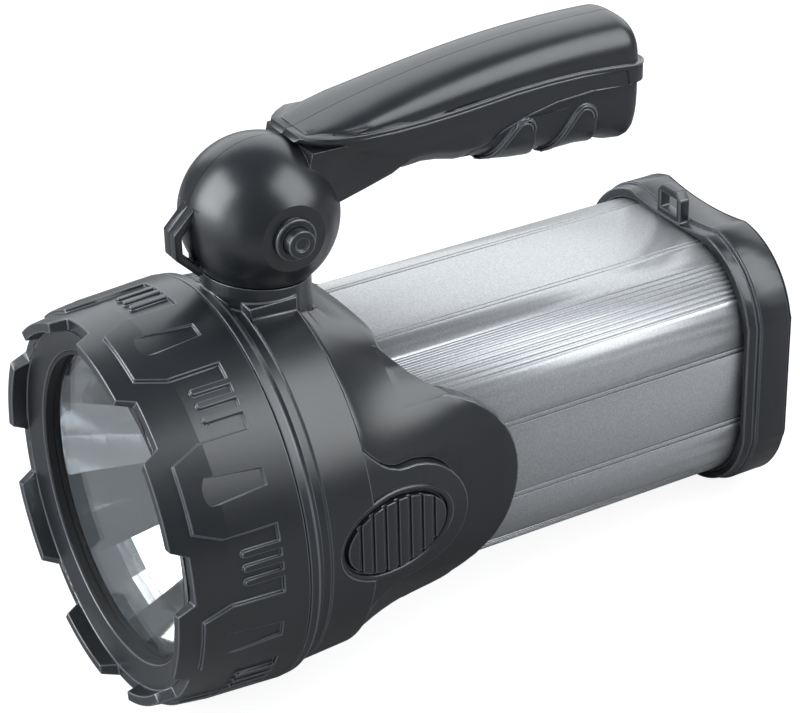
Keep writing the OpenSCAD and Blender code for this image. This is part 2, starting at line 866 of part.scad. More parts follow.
module board_parts() {
    color([0.2, 0.25, 0.4])
    lamp() {
        for (i = [0:can_count - 1])
            on_board(can_shares) translate([i * can_pitch, 0, 0]) cylinder(h = can_h, r = can_r);
        on_board(coil_shares) cube(coil_size);
        on_board(driver_shares) cube(driver_size);
        on_board(charger_shares) cube(charger_size);
        for (i = [0:resistor_count - 1])
            on_board(resistor_shares) translate([i * resistor_pitch, 0, 0]) cube(resistor_size);
    }
}

// A round wire through a list of places, straight from each to the next.
module wire(places, r) {
    for (i = [0:len(places) - 2]) {
        a = places[i];
        d = places[i + 1] - a;
        translate(a)
            rotate([0, acos(d[2] / norm(d)), atan2(d[1], d[0])])
                cylinder(h = norm(d), r = r);
        if (i < len(places) - 2) translate(places[i + 1]) sphere(1.05 * r);
    }
}

module battery_leads() {
    wire_r = 1.1;
    lead_rise = 12;
    lead_side_step = 6;
    lead_end_l = 1.5;
    lead_front = 2;
    lead_z = circuit_z + circuit_t + wire_r + seat_gap;
    for (sx = [-1, 1])
        color(sx > 0 ? "firebrick" : "black")
        lamp() wire([
            [sx * tab_place, battery_y - tab_l - wire_r, 0],
            [sx * tab_place, battery_y - tab_l, lead_rise],
            [sx * (tab_place - lead_side_step), battery_y - lead_front, lead_z],
            [sx * (tab_place - lead_side_step), circuit_y + lead_end_l, lead_z]], wire_r);
}

// Rear cap
cap_y = 201;
cap_half = 44;
cap_lip_l = 3;
cap_lip_in = 1;
cap_corner_rise = 4.4;
cap_corner_r = body_corner_r + cap_corner_rise;
cap_wall_t = 3;
cap_in_half = 37;
gasket_t = 1.5;
dish_r = 108;
dish_sink = 2.2;
cap_chamfer = 1.8;
chamfer_steps = 4;
eyelet_root_z = 38;
eyelet_bevel = 2.5;
cap_boss_r = 5;
head_sink = 0.4;
cap_screw_l = 28;
eyelet_half = 6;
eyelet_t = 3.8;
eyelet_y = 201.3;
eyelet_top_z = 51;
eyelet_hole_half = 4;
eyelet_hole_low_z = 43;
eyelet_hole_top_z = 48.3;
socket_z = -20;
socket_r = 4.8;
socket_bore_r = 2.75;
socket_l = 11;
cover_half = 8;
cover_t = 1.8;
cover_low_z = -28;
cover_hinge_z = -11;
hinge_r = 0.9;
hinge_sink = 1;
hinge_pin_r = 0.6;
hinge_pin_l = 1.2;
hinge_room = 1.6;
cover_seat = 0.5;
socket_wall = 3;
socket_floor = 1.5;
socket_pin_r = 0.95;
pull_half = 4;
pull_depth = 0.5;
pull_l = 1.5;
charge_lamp_z = 20;
charge_lamp_r = 1.6;
charge_lamp_l = 8;
charge_lamp_foot = 0.8;
charge_lamp_foot_l = 1;

module cap_outline(inset) {
    difference() {
        round_square(cap_half - inset, cap_corner_r - inset);
        for (turn = [0:90:270]) rotate([0, 0, turn])
            translate([0, cap_half - inset - dish_sink + dish_r]) circle(dish_r);
    }
}

module rear_cap() {
    rear_y = lamp_l;
    bore_end_y = tube_end_y + gasket_t + seat_gap;
    color(plastic)
    lamp() difference() {
        union() {
            along_beam(cap_y) linear_extrude(cap_lip_l + over) cap_outline(cap_lip_in);
            for (i = [0:chamfer_steps - 1])
                along_beam(cap_y + cap_lip_l + i * cap_chamfer / chamfer_steps)
                    linear_extrude(rear_y - cap_y - cap_lip_l - 2 * i * cap_chamfer / chamfer_steps)
                        cap_outline(cap_chamfer * (1 - (i + 1) / chamfer_steps));
            along_beam(eyelet_y) linear_extrude(eyelet_t)
                polygon([
                    [-eyelet_half, -eyelet_root_z], [eyelet_half, -eyelet_root_z],
                    [eyelet_half, eyelet_bevel - eyelet_top_z],
                    [eyelet_half - eyelet_bevel, -eyelet_top_z],
                    [eyelet_bevel - eyelet_half, -eyelet_top_z],
                    [-eyelet_half, eyelet_bevel - eyelet_top_z]]);
        }
        along_beam(cap_y - over) linear_extrude(bore_end_y - cap_y + over)
            round_square(body_half + tube_gap, body_corner_r + tube_gap);
        along_beam(bore_end_y - over) linear_extrude(rear_y - cap_wall_t - bore_end_y + over)
            difference() {
                round_square(cap_in_half, body_corner_r - body_wall);
                for (sx = [-1, 1], sz = [-1, 1]) translate([sx * port_place, sz * port_place])
                    circle(cap_boss_r);
                translate([0, -socket_z]) circle(socket_r + socket_wall);
            }
        translate([-eyelet_hole_half, eyelet_y - over, eyelet_hole_low_z])
            cube([2 * eyelet_hole_half, eyelet_t + 2 * over, eyelet_hole_top_z - eyelet_hole_low_z]);
        for (sx = [-1, 1], sz = [-1, 1]) translate([sx * port_place, 0, sz * port_place]) {
            along_beam(bore_end_y - over) cylinder(h = rear_y, r = m3_shank_r + seat_gap);
            along_beam(rear_y - m3_head_t - head_sink - seat_gap)
                cylinder(h = rear_y, r = m3_head_r + seat_gap);
        }
        translate([0, 0, socket_z]) along_beam(bore_end_y - over)
            cylinder(h = rear_y, r = socket_r + seat_gap);
        translate([-cover_half - slide_gap, rear_y - cover_t - cover_seat, cover_low_z - slide_gap])
            cube([2 * (cover_half + slide_gap), cover_t + cover_seat + over,
                cover_hinge_z - cover_low_z + slide_gap + hinge_room]);
        translate([0, 0, charge_lamp_z]) along_beam(bore_end_y - over)
            cylinder(h = rear_y, r = charge_lamp_r + seat_gap);
        translate([0, rear_y - hinge_sink, cover_hinge_z])
            along_x(-cover_half - hinge_pin_l - 2 * seat_gap)
                cylinder(h = 2 * (cover_half + hinge_pin_l + 2 * seat_gap),
                    r = hinge_pin_r + running_fit);
    }
}

module cap_gasket() {
    color(rubber)
    lamp() along_beam(tube_end_y + running_fit) linear_extrude(gasket_t) difference() {
        round_square(body_half - 2 * seat_gap, body_corner_r - 2 * seat_gap);
        round_square(body_half - body_wall - slide_gap, body_corner_r - body_wall - slide_gap);
        for (sx = [-1, 1], sz = [-1, 1]) translate([sx * port_place, sz * port_place])
            circle(m3_shank_r + seat_gap);
    }
}

module cap_screws() {
    color(steel)
    lamp() for (sx = [-1, 1], sz = [-1, 1]) translate([sx * port_place, 0, sz * port_place]) {
        along_beam(lamp_l - m3_head_t - head_sink) cylinder(h = m3_head_t, r = m3_head_r);
        along_beam(lamp_l - m3_head_t - cap_screw_l) cylinder(h = cap_screw_l, r = m3_shank_r);
    }
}

module charge_socket() {
    color([0.3, 0.3, 0.32])
    lamp() translate([0, 0, socket_z]) along_beam(lamp_l - cover_t - cover_seat - seat_gap - socket_l) difference() {
        cylinder(h = socket_l, r = socket_r);
        translate([0, 0, socket_floor]) difference() {
            cylinder(h = socket_l, r = socket_bore_r);
            translate([0, 0, -over]) cylinder(h = socket_l - socket_floor, r = socket_pin_r);
        }
    }
}

module charge_lamp() {
    color([0.8, 0.15, 0.1])
    lamp() translate([0, 0, charge_lamp_z]) along_beam(lamp_l - 2 * seat_gap - charge_lamp_l) union() {
        cylinder(h = charge_lamp_l, r = charge_lamp_r);
        cylinder(h = charge_lamp_foot_l, r = charge_lamp_r + charge_lamp_foot);
    }
}

module socket_cover() {
    cover_y = lamp_l - cover_t - seat_gap;
    color(rubber)
    lamp() difference() {
        union() {
            translate([-cover_half, cover_y, cover_low_z])
                cube([2 * cover_half, cover_t, cover_hinge_z - cover_low_z]);
            translate([0, lamp_l - hinge_sink, cover_hinge_z]) {
                along_x(-cover_half) cylinder(h = 2 * cover_half, r = hinge_r);
                along_x(-cover_half - hinge_pin_l)
                    cylinder(h = 2 * (cover_half + hinge_pin_l), r = hinge_pin_r);
            }
        }
        translate([-pull_half, cover_y + cover_t - pull_depth, cover_low_z - over])
            cube([2 * pull_half, over, over + pull_l]);
    }
}

// Swivel post that carries the ball
post_low_z = 44.5;
washer_r = 6.2;
washer_t = 0.9;
nut_r = 6;
nut_t = 4;
post_flange_t = 1.5;
eye_r = 8;
eye_half = 5.5;

module swivel_post() {
    color(steel)
    lamp() translate([0, ball_y, 0]) difference() {
        union() {
            translate([0, 0, post_low_z])
                cylinder(h = post_flange_z - post_low_z + over, r = post_shank_r);
            translate([0, 0, post_flange_z]) cylinder(h = post_flange_t, r = post_flange_r);
            translate([-eye_half, -eye_half, post_flange_z + post_flange_t])
                cube([2 * eye_half, 2 * eye_half, ball_h - post_flange_z - eye_half]);
            translate([0, 0, ball_h]) along_x(-eye_half) cylinder(h = 2 * eye_half, r = eye_r);
        }
        translate([0, 0, ball_h]) along_x(-eye_half - over)
            cylinder(h = 2 * (eye_half + over), r = shaft_r + running_fit);
    }
}

module swivel_washer() {
    color(steel)
    lamp() translate([0, ball_y, neck_floor_z - seat_gap - washer_t]) difference() {
        cylinder(h = washer_t, r = washer_r);
        translate([0, 0, -over]) cylinder(h = washer_t + 2 * over, r = post_shank_r + running_fit);
    }
}

module swivel_nut() {
    color(satin_metal)
    lamp() translate([0, ball_y, neck_floor_z - 2 * seat_gap - washer_t - nut_t]) difference() {
        cylinder(h = nut_t, r = nut_r, $fn = 6);
        translate([0, 0, -over]) cylinder(h = nut_t + 2 * over, r = post_shank_r + running_fit);
    }
}

// Handle: a shell in two halves, closed by a soft grip underneath
handle_wall = 2.5;
seam = 0.05;
ball_in_r = ball_r - handle_wall;
slot_half = 8.5;
slot_front_turn = -117;
slot_rear_turn = -54;
slot_steps = 6;
hub_x = 20.7;
shaft_end_x = 8;
shaft_head_x = 18.4;
boss_face_x = 5.8;
right_boss_r = 9.5;
left_boss_r = 8.5;
loop_half = 3.5;
loop_reach = 28;
loop_low = 13;
loop_top = 7.5;
loop_slope = 6.5;
loop_bar = 2.3;
loop_notch_half = 4.6;
loop_notch = 21;
loop_back_l = 5;
arm_half = 13.5;
rim_over = 1.9;
rim_end_y = ball_y + grip_l;
shell_end_y = rim_end_y - rim_over;
rim_t = 1.6;
rim_rear_t = 5.8;
rim_corner_r = 6.5;
end_r = 6;
edge_t = 0.1;
arch_rise = 0.9;
grip_steps = 18;
end_steps = 5;
ring_steps = 32;
arch_steps = 8;
nose_share = 0.067;
chin_share = 0.078;
shell_share = 0.096;
hollow_share = 0.2;
rim_rear_share = 0.93;
dome_power = 0.7;
dome_rise_power = 0.77;
side_power = 0.42;
side_fall_power = 0.5;
grip_screw_r = 1.2;
grip_head_r = 2.4;
grip_head_t = 1.8;
grip_head_x = 10;
grip_boss_r = 3.2;

// Places along the handle are shares of its length behind the ball's centre,
// heights are shares of the ball's radius over that centre, widths of half the grip.
grip_screw_shares = [[-0.094, 0.48], [0.363, 0.72], [0.654, 0.895], [0.905, 1.048]];
rim_shares = [[0.06, 1.009], [0.145, 1.013], [0.217, 0.978], [0.298, 0.961], [0.38, 0.965],
    [0.46, 0.983], [0.54, 1.013], [0.62, 1.048], [0.71, 1.061], [0.81, 1.052], [0.89, 1.017],
    [0.962, 0.974], [1.05, 0.93]];
under_shares = [[0.06, 0.94], [0.123, 0.808], [0.272, 0.41], [0.298, 0.301], [0.322, 0.275],
    [0.355, 0.297], [0.387, 0.297], [0.427, 0.258], [0.476, 0.188], [0.525, 0.179],
    [0.557, 0.127], [0.606, 0.074], [0.68, 0.026], [0.735, 0.013], [0.832, 0.017],
    [0.873, -0.057], [0.905, -0.127], [1.05, -0.127]];
crease_shares = [[0.48, -0.1], [0.488, 0.218], [0.504, 0.328], [0.54, 0.415], [0.589, 0.541],
    [0.65, 0.651], [0.735, 0.738], [0.84, 0.764], [0.945, 0.721], [1.08, 0.677]];
dome_shares = [[0.096, 0.5], [0.112, 0.547], [0.136, 0.707], [0.172, 0.84], [0.233, 0.947],
    [0.33, 0.96], [1.05, 0.96]];
side_shares = [[0.096, 0.5], [0.12, 0.7], [0.152, 0.86], [0.2, 0.95], [0.266, 0.967],
    [1.05, 0.967]];
nose_shares = [[0.447, 0.067], [0.673, 0.086], [0.827, 0.107], [0.98, 0.137], [1, 0.177]];
back_peak_share = 0.84;
back_peak_rise_share = 1.537;
back_fall_share = 0.668;
// Outline of the arm, each corner with the way in that a wall moves it.
arm_shares = [[0.055, 0.153, 0, 1], [0.152, 0.144, 0, 1], [0.217, 0.231, 0, 1],
    [0.29, 0.336, 0, 1], [0.363, 0.546, -1, 1], [0.363, 0.852, -1, -1], [0.087, 0.873, 0, -1]];
// The two raised arches between the fingers: foot, top and rear along the handle,
// then the heights of foot and top.
arch_shares = [[0.533, 0.642, 0.674, 0.153, 0.624], [0.707, 0.808, 0.846, 0.044, 0.603]];

function grip_y(share) = ball_y + share * grip_l;
function grip_z(share) = ball_h + share * ball_r;
function grip_share(y) = (y - ball_y) / grip_l;
function rim_z(y) = grip_z(lookup(grip_share(y), rim_shares));
function under_z(y) = grip_z(lookup(grip_share(y), under_shares));
function back_z(y) = grip_z(back_peak_rise_share
    - back_fall_share * pow((grip_share(y) - back_peak_share) / back_peak_share, 2));

// How far the outline has drawn in at y, on its rounded way to the end.
function end_cut(y, end_y) =
    y > end_y - end_r ? end_r - sqrt(max(0, pow(end_r, 2) - pow(y - end_y + end_r, 2))) : 0;

// Closed section of the handle at y, shrunk all round by inset.
function grip_ring(y, inset) =
    let (cut = inset + end_cut(y, shell_end_y - inset),
         up_half = grip_half * lookup(grip_share(y), dome_shares) - cut,
         low_half = grip_half * lookup(grip_share(y), side_shares) - cut,
         rise = max(edge_t, back_z(y) - rim_z(y) - cut),
         fall = max(edge_t, rim_z(y) - under_z(y) - cut))
    [for (i = [0:ring_steps - 1]) let (t = 360 * i / ring_steps, c = cos(t), s = sin(t))
        s > 0
            ? [sign(c) * up_half * pow(abs(c), dome_power), y,
               rim_z(y) + rise * pow(s, dome_rise_power)]
            : [sign(c) * low_half * pow(abs(c), side_power), y,
               rim_z(y) - fall * pow(-s, side_fall_power)]];

// Shell from y = from_y to the rounded rear end.
module grip_skin(from_y, inset) {
    bend_start_y = shell_end_y - inset - end_r;
    skin(concat(
        [for (i = [0:grip_steps])
            grip_ring(from_y + (bend_start_y - from_y) * i / grip_steps, inset)],
        [for (i = [1:end_steps])
            grip_ring(bend_start_y + end_r * sin(90 * i / end_steps), inset)]));
}

// Plan outline of the rim, as [x, y].
function rim_plan() = concat(
    [for (p = nose_shares) [grip_half * p[0], grip_y(p[1])]],
    [for (i = [0:6]) let (t = 15 * i)
        [grip_half + rim_corner_r * (cos(t) - 1), rim_end_y + rim_corner_r * (sin(t) - 1)]]);

module rim_band() {
    plan = rim_plan();
    last = len(rim_shares) - 1;
    rear_y = grip_y(rim_rear_share);
    rear_z = rim_z(grip_y(1)) - rim_rear_t;
    intersection() {
        translate([0, 0, ball_h]) linear_extrude(2 * ball_r)
            polygon(concat(plan,
                [for (i = [len(plan) - 1:-1:0]) [-plan[i][0], plan[i][1]]]));
        across(grip_half + over) polygon(concat(
            [[grip_y(chin_share), rim_z(grip_y(chin_share))]],
            [for (i = [1:last]) [grip_y(rim_shares[i][0]), grip_z(rim_shares[i][1])]],
            [[grip_y(rim_shares[last][0]), rear_z], [rear_y + over, rear_z],
             [rear_y, rim_z(rear_y) - rim_t]],
            [for (i = [last - 3:-1:1])
                [grip_y(rim_shares[i][0]), grip_z(rim_shares[i][1]) - rim_t]],
            [[grip_y(nose_share), rim_z(grip_y(nose_share)) - rim_t]]));
    }
}

module under_crease(grow) {
    first = crease_shares[0];
    across(grip_half + 2 * over) polygon(concat(
        [for (p = crease_shares) [grip_y(p[0]) - grow, grip_z(p[1]) + grow]],
        [[grip_y(crease_shares[len(crease_shares) - 1][0]), ball_h - ball_r],
         [grip_y(first[0]) - grow, ball_h - ball_r]]));
}

module ball_frame() {
    translate([0, ball_y, ball_h]) children();
}

module arm_side(inset) {
    across(arm_half - inset) polygon([for (p = arm_shares)
        [grip_y(p[0]) + p[2] * inset, grip_z(p[1]) + p[3] * inset]]);
}

// Side outline of the strap loop round the ball's centre, drawn in by a bar.
function loop_side(bar) = let (k = bar * tan(22.5)) [
    [-loop_reach + bar, loop_slope - loop_low + k], [-loop_reach + loop_slope + k, bar - loop_low],
    [-loop_notch + over, bar - loop_low], [-loop_notch + over, loop_top - bar],
    [-loop_reach + loop_slope + k, loop_top - bar], [-loop_reach + bar, loop_top - loop_slope - k]];

module strap_loop() {
    ball_frame() difference() {
        union() {
            across(loop_half) polygon(loop_side(0));
            intersection() {
                translate([-loop_half, -loop_notch, -loop_low])
                    cube([2 * loop_half, loop_back_l, loop_low + loop_top]);
                sphere(ball_r);
            }
        }
        sphere(ball_in_r);
    }
}

module handle_body() {
    difference() {
        union() {
            difference() {
                ball_frame() intersection() {
                    sphere(ball_r);
                    translate([-hub_x, -ball_r - over, -ball_r - over])
                        cube([2 * hub_x, 2 * (ball_r + over), 2 * (ball_r + over)]);
                }
                ball_frame() sphere(ball_in_r);
            }
            difference() {
                union() {
                    arm_side(0);
                    grip_skin(grip_y(shell_share), 0);
                    rim_band();
                }
                grip_skin(grip_y(hollow_share), handle_wall);
                arm_side(handle_wall);
                ball_frame() sphere(ball_in_r);
            }
            strap_loop();
            intersection() {
                ball_frame() sphere(ball_r - seam);
                ball_frame()
                    translate([-loop_notch_half - over, -loop_notch - over, -loop_low])
                        cube([2 * (loop_notch_half + over), loop_back_l, loop_low + loop_top]);
            }
            intersection() {
                ball_frame() {
                    along_x(boss_face_x) cylinder(h = hub_x - boss_face_x, r = right_boss_r);
                    along_x(-hub_x) cylinder(h = hub_x - boss_face_x, r = left_boss_r);
                }
                ball_frame() sphere(ball_r);
            }
            intersection() {
                for (p = grip_screw_shares) translate([0, grip_y(p[0]), grip_z(p[1])])
                    along_x(-grip_half) cylinder(h = 2 * grip_half, r = grip_boss_r);
                union() {
                    ball_frame() sphere(ball_r - 5 * seat_gap);
                    grip_skin(grip_y(shell_share), over);
                }
            }
        }
        ball_frame() {
            across(slot_half) polygon(concat([[0, 0]],
                [for (i = [0:slot_steps])
                    let (t = slot_front_turn + (slot_rear_turn - slot_front_turn) * i / slot_steps)
                    [1.3 * ball_r * cos(t), 1.3 * ball_r * sin(t)]]));
            along_x(-shaft_head_x - 2 * seat_gap)
                cylinder(h = shaft_head_x + shaft_end_x + 3 * seat_gap, r = shaft_r + running_fit);
            along_x(-hub_x - over)
                cylinder(h = over + hub_x - shaft_head_x - seat_gap, r = hub_cap_r + seat_gap);
            along_x(lock_floor_x) cylinder(h = ball_r, r = lock_bore_r);
        }
        for (p = grip_screw_shares) translate([0, grip_y(p[0]), grip_z(p[1])]) {
            along_x(-grip_head_x) cylinder(h = 2 * grip_head_x, r = grip_screw_r + seat_gap);
            along_x(-ball_r) cylinder(h = ball_r - grip_head_x, r = grip_head_r + seat_gap);
        }
        under_crease(seat_gap);
        intersection() {
            ball_frame() across(loop_notch_half) polygon(loop_side(loop_bar));
            ball_frame() translate([-loop_notch_half, -loop_reach, -loop_low])
                cube([2 * loop_notch_half, loop_reach - loop_notch, loop_low + loop_top]);
        }
    }
}

module handle_half_left() {
    color(plastic)
    lamp() intersection() {
        handle_body();
        translate([-2 * ball_r - seam, 0, 0]) cube([2 * ball_r, rim_end_y + over, 2 * ball_h]);
    }
}

module handle_half_right() {
    color(plastic)
    lamp() intersection() {
        handle_body();
        translate([seam, 0, 0]) cube([2 * ball_r, rim_end_y + over, 2 * ball_h]);
    }
}

// Raised arch between two fingers, as a side outline with a slanted front.
module arch_side(p) {
    foot = [grip_y(p[0]), grip_z(p[3])];
    top = [grip_y(p[1]), grip_z(p[4])];
    rear_y = grip_y(p[2]);
    low_z = ball_h - ball_r;
    across(grip_half + over) polygon(concat(
        [[foot[0], low_z]],
        [for (i = [0:arch_steps]) let (s = i / arch_steps)
            [foot[0] + (top[0] - foot[0]) * s, foot[1] + (top[1] - foot[1]) * s * s * (3 - 2 * s)]],
        [for (i = [1:arch_steps]) let (t = 90 * i / arch_steps)
            [top[0] + (rear_y - top[0]) * sin(t), top[1] - (rear_y - top[0]) * (1 - cos(t))]],
        [[rear_y, low_z]]));
}

module finger_grip() {
    color(rubber)
    lamp() difference() {
        union() {
            intersection() {
                grip_skin(grip_y(shell_share), 0);
                under_crease(0);
            }
            intersection() {
                grip_skin(grip_y(shell_share), -arch_rise);
                under_crease(-8 * seat_gap);
                union() {
                    for (p = arch_shares) arch_side(p);
                }
            }
        }
        grip_skin(grip_y(hollow_share), handle_wall);
    }
}

module handle_screws() {
    color(steel)
    lamp() for (p = grip_screw_shares) translate([0, grip_y(p[0]), grip_z(p[1])]) {
        along_x(-grip_head_x - grip_head_t) cylinder(h = grip_head_t, r = grip_head_r);
        along_x(-grip_head_x - over) cylinder(h = 2 * grip_head_x, r = grip_screw_r);
    }
}

// Pivot shaft and the round lock button on the ball
hub_cap_r = 6.5;
hub_cap_t = 2;
lock_floor_x = 9.5;
lock_bore_r = 5.9;
lock_stem_r = 4.1;
lock_face_x = 25.6;
lock_flange_r = 5.6;
lock_flange_x = 16.4;
lock_flange_t = 2;
dimple_r = 1.9;
dimple_depth = 0.8;
collar_out_r = 6.3;
collar_face_x = 22.2;
collar_plug_x = 18.7;
spring_r = 4.4;
spring_wire_r = 0.4;
spring_turns = 3;
spring_end_x = 12.9;
spring_curls = 48;

module pivot_shaft() {
    color(steel)
    lamp() ball_frame() along_x(-shaft_head_x)
        cylinder(h = shaft_head_x + shaft_end_x, r = shaft_r);
}

module hub_cap() {
    color(plastic)
    lamp() ball_frame() along_x(-hub_x + seat_gap) cylinder(h = hub_cap_t, r = hub_cap_r);
}

module button_collar() {
    color(plastic)
    lamp() ball_frame() difference() {
        union() {
            along_x(hub_x + seat_gap) cylinder(h = collar_face_x - hub_x, r = collar_out_r);
            along_x(collar_plug_x) cylinder(h = hub_x - collar_plug_x + over, r = lock_bore_r - running_fit);
        }
        along_x(collar_plug_x - over)
            cylinder(h = collar_face_x - collar_plug_x + 3 * over, r = lock_stem_r + running_fit);
    }
}

module lock_button() {
    color(plastic)
    lamp() ball_frame() difference() {
        union() {
            along_x(lock_flange_x) cylinder(h = lock_face_x - lock_flange_x, r = lock_stem_r);
            along_x(lock_flange_x) cylinder(h = lock_flange_t, r = lock_flange_r);
        }
        along_x(lock_face_x - dimple_depth) cylinder(h = 2 * over, r = dimple_r);
    }
}

// Wire ring followed along a helix on +X, as a closed skin.
module lock_spring() {
    length = lock_flange_x - spring_end_x - 2 * spring_wire_r - seat_gap;
    color(steel)
    lamp() ball_frame() skin([for (k = [0:spring_curls])
        let (t = 360 * spring_turns * k / spring_curls,
             x = spring_end_x + spring_wire_r + length * k / spring_curls)
        [for (i = [7:-1:0]) let (a = 45 * i, r = spring_r + spring_wire_r * cos(a))
            [x + spring_wire_r * sin(a), r * cos(t), r * sin(t)]]]);
}

bezel_ring();
lens();
lens_gasket();
reflector();
led_board();
led_emitter();
led_screws();
heat_sink();
heat_sink_screws();
head_shell();
shoulder_housing();
shoulder_screws();
power_button();
switch_plunger();
switch_body();
switch_board();
body_tube();
battery_case();
battery_lid();
battery_terminals();
front_bracket();
rear_bracket();
driver_board();
board_parts();
battery_leads();
cap_gasket();
rear_cap();
cap_screws();
charge_socket();
charge_lamp();
socket_cover();
swivel_post();
swivel_washer();
swivel_nut();
handle_half_left();
handle_half_right();
finger_grip();
handle_screws();
pivot_shaft();
hub_cap();
lock_button();
lock_spring();
button_collar();
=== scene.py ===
# %% [markdown]
# # A rechargeable hand spotlight
# The lamp has a round toothed head, a square metal body and a carrying handle that stands on a ball. Its working
# model is loaded as a fixed frame, and this script gives every surface its looks. All sizes are in metres and all
# pieces lie where the frame has them. The lamp is easier to think of in millimetres from its teeth, so a small
# helper turns such a place into the frame's metres.

# %% Load the frame and set the helpers
import json
import math
import bmesh
import bpy
from mathutils import Matrix, Vector
from mathutils.bvhtree import BVHTree


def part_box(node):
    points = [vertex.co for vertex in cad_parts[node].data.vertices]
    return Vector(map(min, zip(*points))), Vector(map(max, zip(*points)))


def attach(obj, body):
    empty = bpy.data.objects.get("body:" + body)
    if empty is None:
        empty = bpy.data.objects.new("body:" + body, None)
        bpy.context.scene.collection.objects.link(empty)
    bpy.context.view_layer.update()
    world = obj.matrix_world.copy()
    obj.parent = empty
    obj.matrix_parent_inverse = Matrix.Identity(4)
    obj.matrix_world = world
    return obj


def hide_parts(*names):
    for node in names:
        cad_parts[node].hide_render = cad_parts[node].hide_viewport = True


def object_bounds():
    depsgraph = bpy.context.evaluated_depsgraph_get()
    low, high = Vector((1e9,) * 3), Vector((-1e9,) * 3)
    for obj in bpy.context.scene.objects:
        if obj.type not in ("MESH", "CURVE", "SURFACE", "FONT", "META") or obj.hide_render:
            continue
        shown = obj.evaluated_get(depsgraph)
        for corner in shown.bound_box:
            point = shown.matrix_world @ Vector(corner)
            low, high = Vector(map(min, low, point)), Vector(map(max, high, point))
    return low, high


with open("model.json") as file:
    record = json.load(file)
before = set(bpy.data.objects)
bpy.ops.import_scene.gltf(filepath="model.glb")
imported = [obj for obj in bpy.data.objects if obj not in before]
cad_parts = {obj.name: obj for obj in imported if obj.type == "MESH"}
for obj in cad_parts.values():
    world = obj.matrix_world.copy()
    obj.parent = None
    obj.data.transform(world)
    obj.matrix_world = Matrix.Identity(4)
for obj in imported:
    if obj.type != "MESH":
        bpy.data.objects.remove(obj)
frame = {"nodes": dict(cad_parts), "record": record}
cad_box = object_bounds()
nodes = frame["nodes"]
LAMP_LENGTH = 217.6
AXIS_HEIGHT = 61.3


def place(x, y, z):
    """A place in lamp millimetres (y from the tooth tips, z from the beam axis) in the frame's metres."""
    return Vector((x, y - LAMP_LENGTH / 2, z + AXIS_HEIGHT)) * 0.001


print("nodes:", len(nodes), "box:", [round(v, 4) for v in (*cad_box[0], *cad_box[1])])

# %% [markdown]
# ## Camera
# The photograph looks down on the lamp from its button side. The camera stands where lines of the metal body and
# the eight teeth fall on the same places as in the photograph: a long lens about 0.8 metres away, turned slightly.

# %% Camera
AZIMUTH, ELEVATION, ROLL = (math.radians(a) for a in (59.99, 28.90, -1.41))
back = Vector((math.cos(ELEVATION) * math.sin(AZIMUTH), -math.cos(ELEVATION) * math.cos(AZIMUTH), math.sin(ELEVATION)))
right = Vector((math.cos(AZIMUTH), math.sin(AZIMUTH), 0))
up = back.cross(right)
right_turned = right * math.cos(ROLL) + up * math.sin(ROLL)
up_turned = up * math.cos(ROLL) - right * math.sin(ROLL)
camera_data = bpy.data.cameras.new("camera")
camera_data.lens = 116.4
camera_data.sensor_width = 36
camera_data.clip_start = 0.01
camera = bpy.data.objects.new("camera", camera_data)
turn = Matrix((right_turned, up_turned, back)).transposed().to_4x4()
camera.matrix_world = Matrix.Translation(place(586.1, -234.8, 394.3)) @ turn
bpy.context.scene.collection.objects.link(camera)
bpy.context.scene.camera = camera
print("camera at", [round(v, 3) for v in camera.matrix_world.translation])

# %% [markdown]
# ## Shared effects
# Moulded plastic and blasted metal share two things: a fine grain that breaks up reflections, and a slow change of
# sheen from handling. Each effect is a node group built once. A group only puts out heights and values, and every
# material places it with its own scale, so the same effect can be coarse on rubber and fine on metal.


# %% Node groups
def new_group(name, inputs, outputs):
    """An empty shader group with float inputs (name, value) and outputs (name, socket type)."""
    group = bpy.data.node_groups.new(name, "ShaderNodeTree")
    for label, value in inputs:
        socket = group.interface.new_socket(label, in_out="INPUT", socket_type="NodeSocketFloat")
        socket.default_value = value
    for label, kind in outputs:
        group.interface.new_socket(label, in_out="OUTPUT", socket_type=kind)
    return group, group.nodes.new("NodeGroupInput"), group.nodes.new("NodeGroupOutput")


def noise_at(tree, source, scale, detail, stretch=None):
    """A noise texture on Object coordinates, its scale taken from a socket or a number."""
    coords = tree.nodes.new("ShaderNodeTexCoord")
    out = coords.outputs["Object"]
    if stretch:
        mapping = tree.nodes.new("ShaderNodeMapping")
        mapping.inputs["Scale"].default_value = stretch
        tree.links.new(out, mapping.inputs["Vector"])
        out = mapping.outputs["Vector"]
    texture = tree.nodes.new("ShaderNodeTexNoise")
    texture.inputs["Detail"].default_value = detail
    tree.links.new(out, texture.inputs["Vector"])
    if source is None:
        texture.inputs["Scale"].default_value = scale
    else:
        tree.links.new(source, texture.inputs["Scale"])
    return texture


def ranged(tree, value, low, high, clamp=True):
    """Maps a 0..1 value to low..high, each a number or a socket."""
    node = tree.nodes.new("ShaderNodeMapRange")
    node.clamp = clamp
    tree.links.new(value, node.inputs["Value"])
    for label, item in (("To Min", low), ("To Max", high)):
        if isinstance(item, (int, float)):
            node.inputs[label].default_value = item
        else:
            tree.links.new(item, node.inputs[label])
    return node.outputs["Result"]


grain, g_in, g_out = new_group("Fine grain", [("Scale", 2500), ("Contrast", 1)], [("Height", "NodeSocketFloat")])
fine = noise_at(grain, g_in.outputs["Scale"], 0, 2)
product = grain.nodes.new("ShaderNodeMath")
product.operation = "MULTIPLY"
grain.links.new(fine.outputs["Fac"], product.inputs[0])
grain.links.new(g_in.outputs["Contrast"], product.inputs[1])
grain.links.new(product.outputs[0], g_out.inputs["Height"])

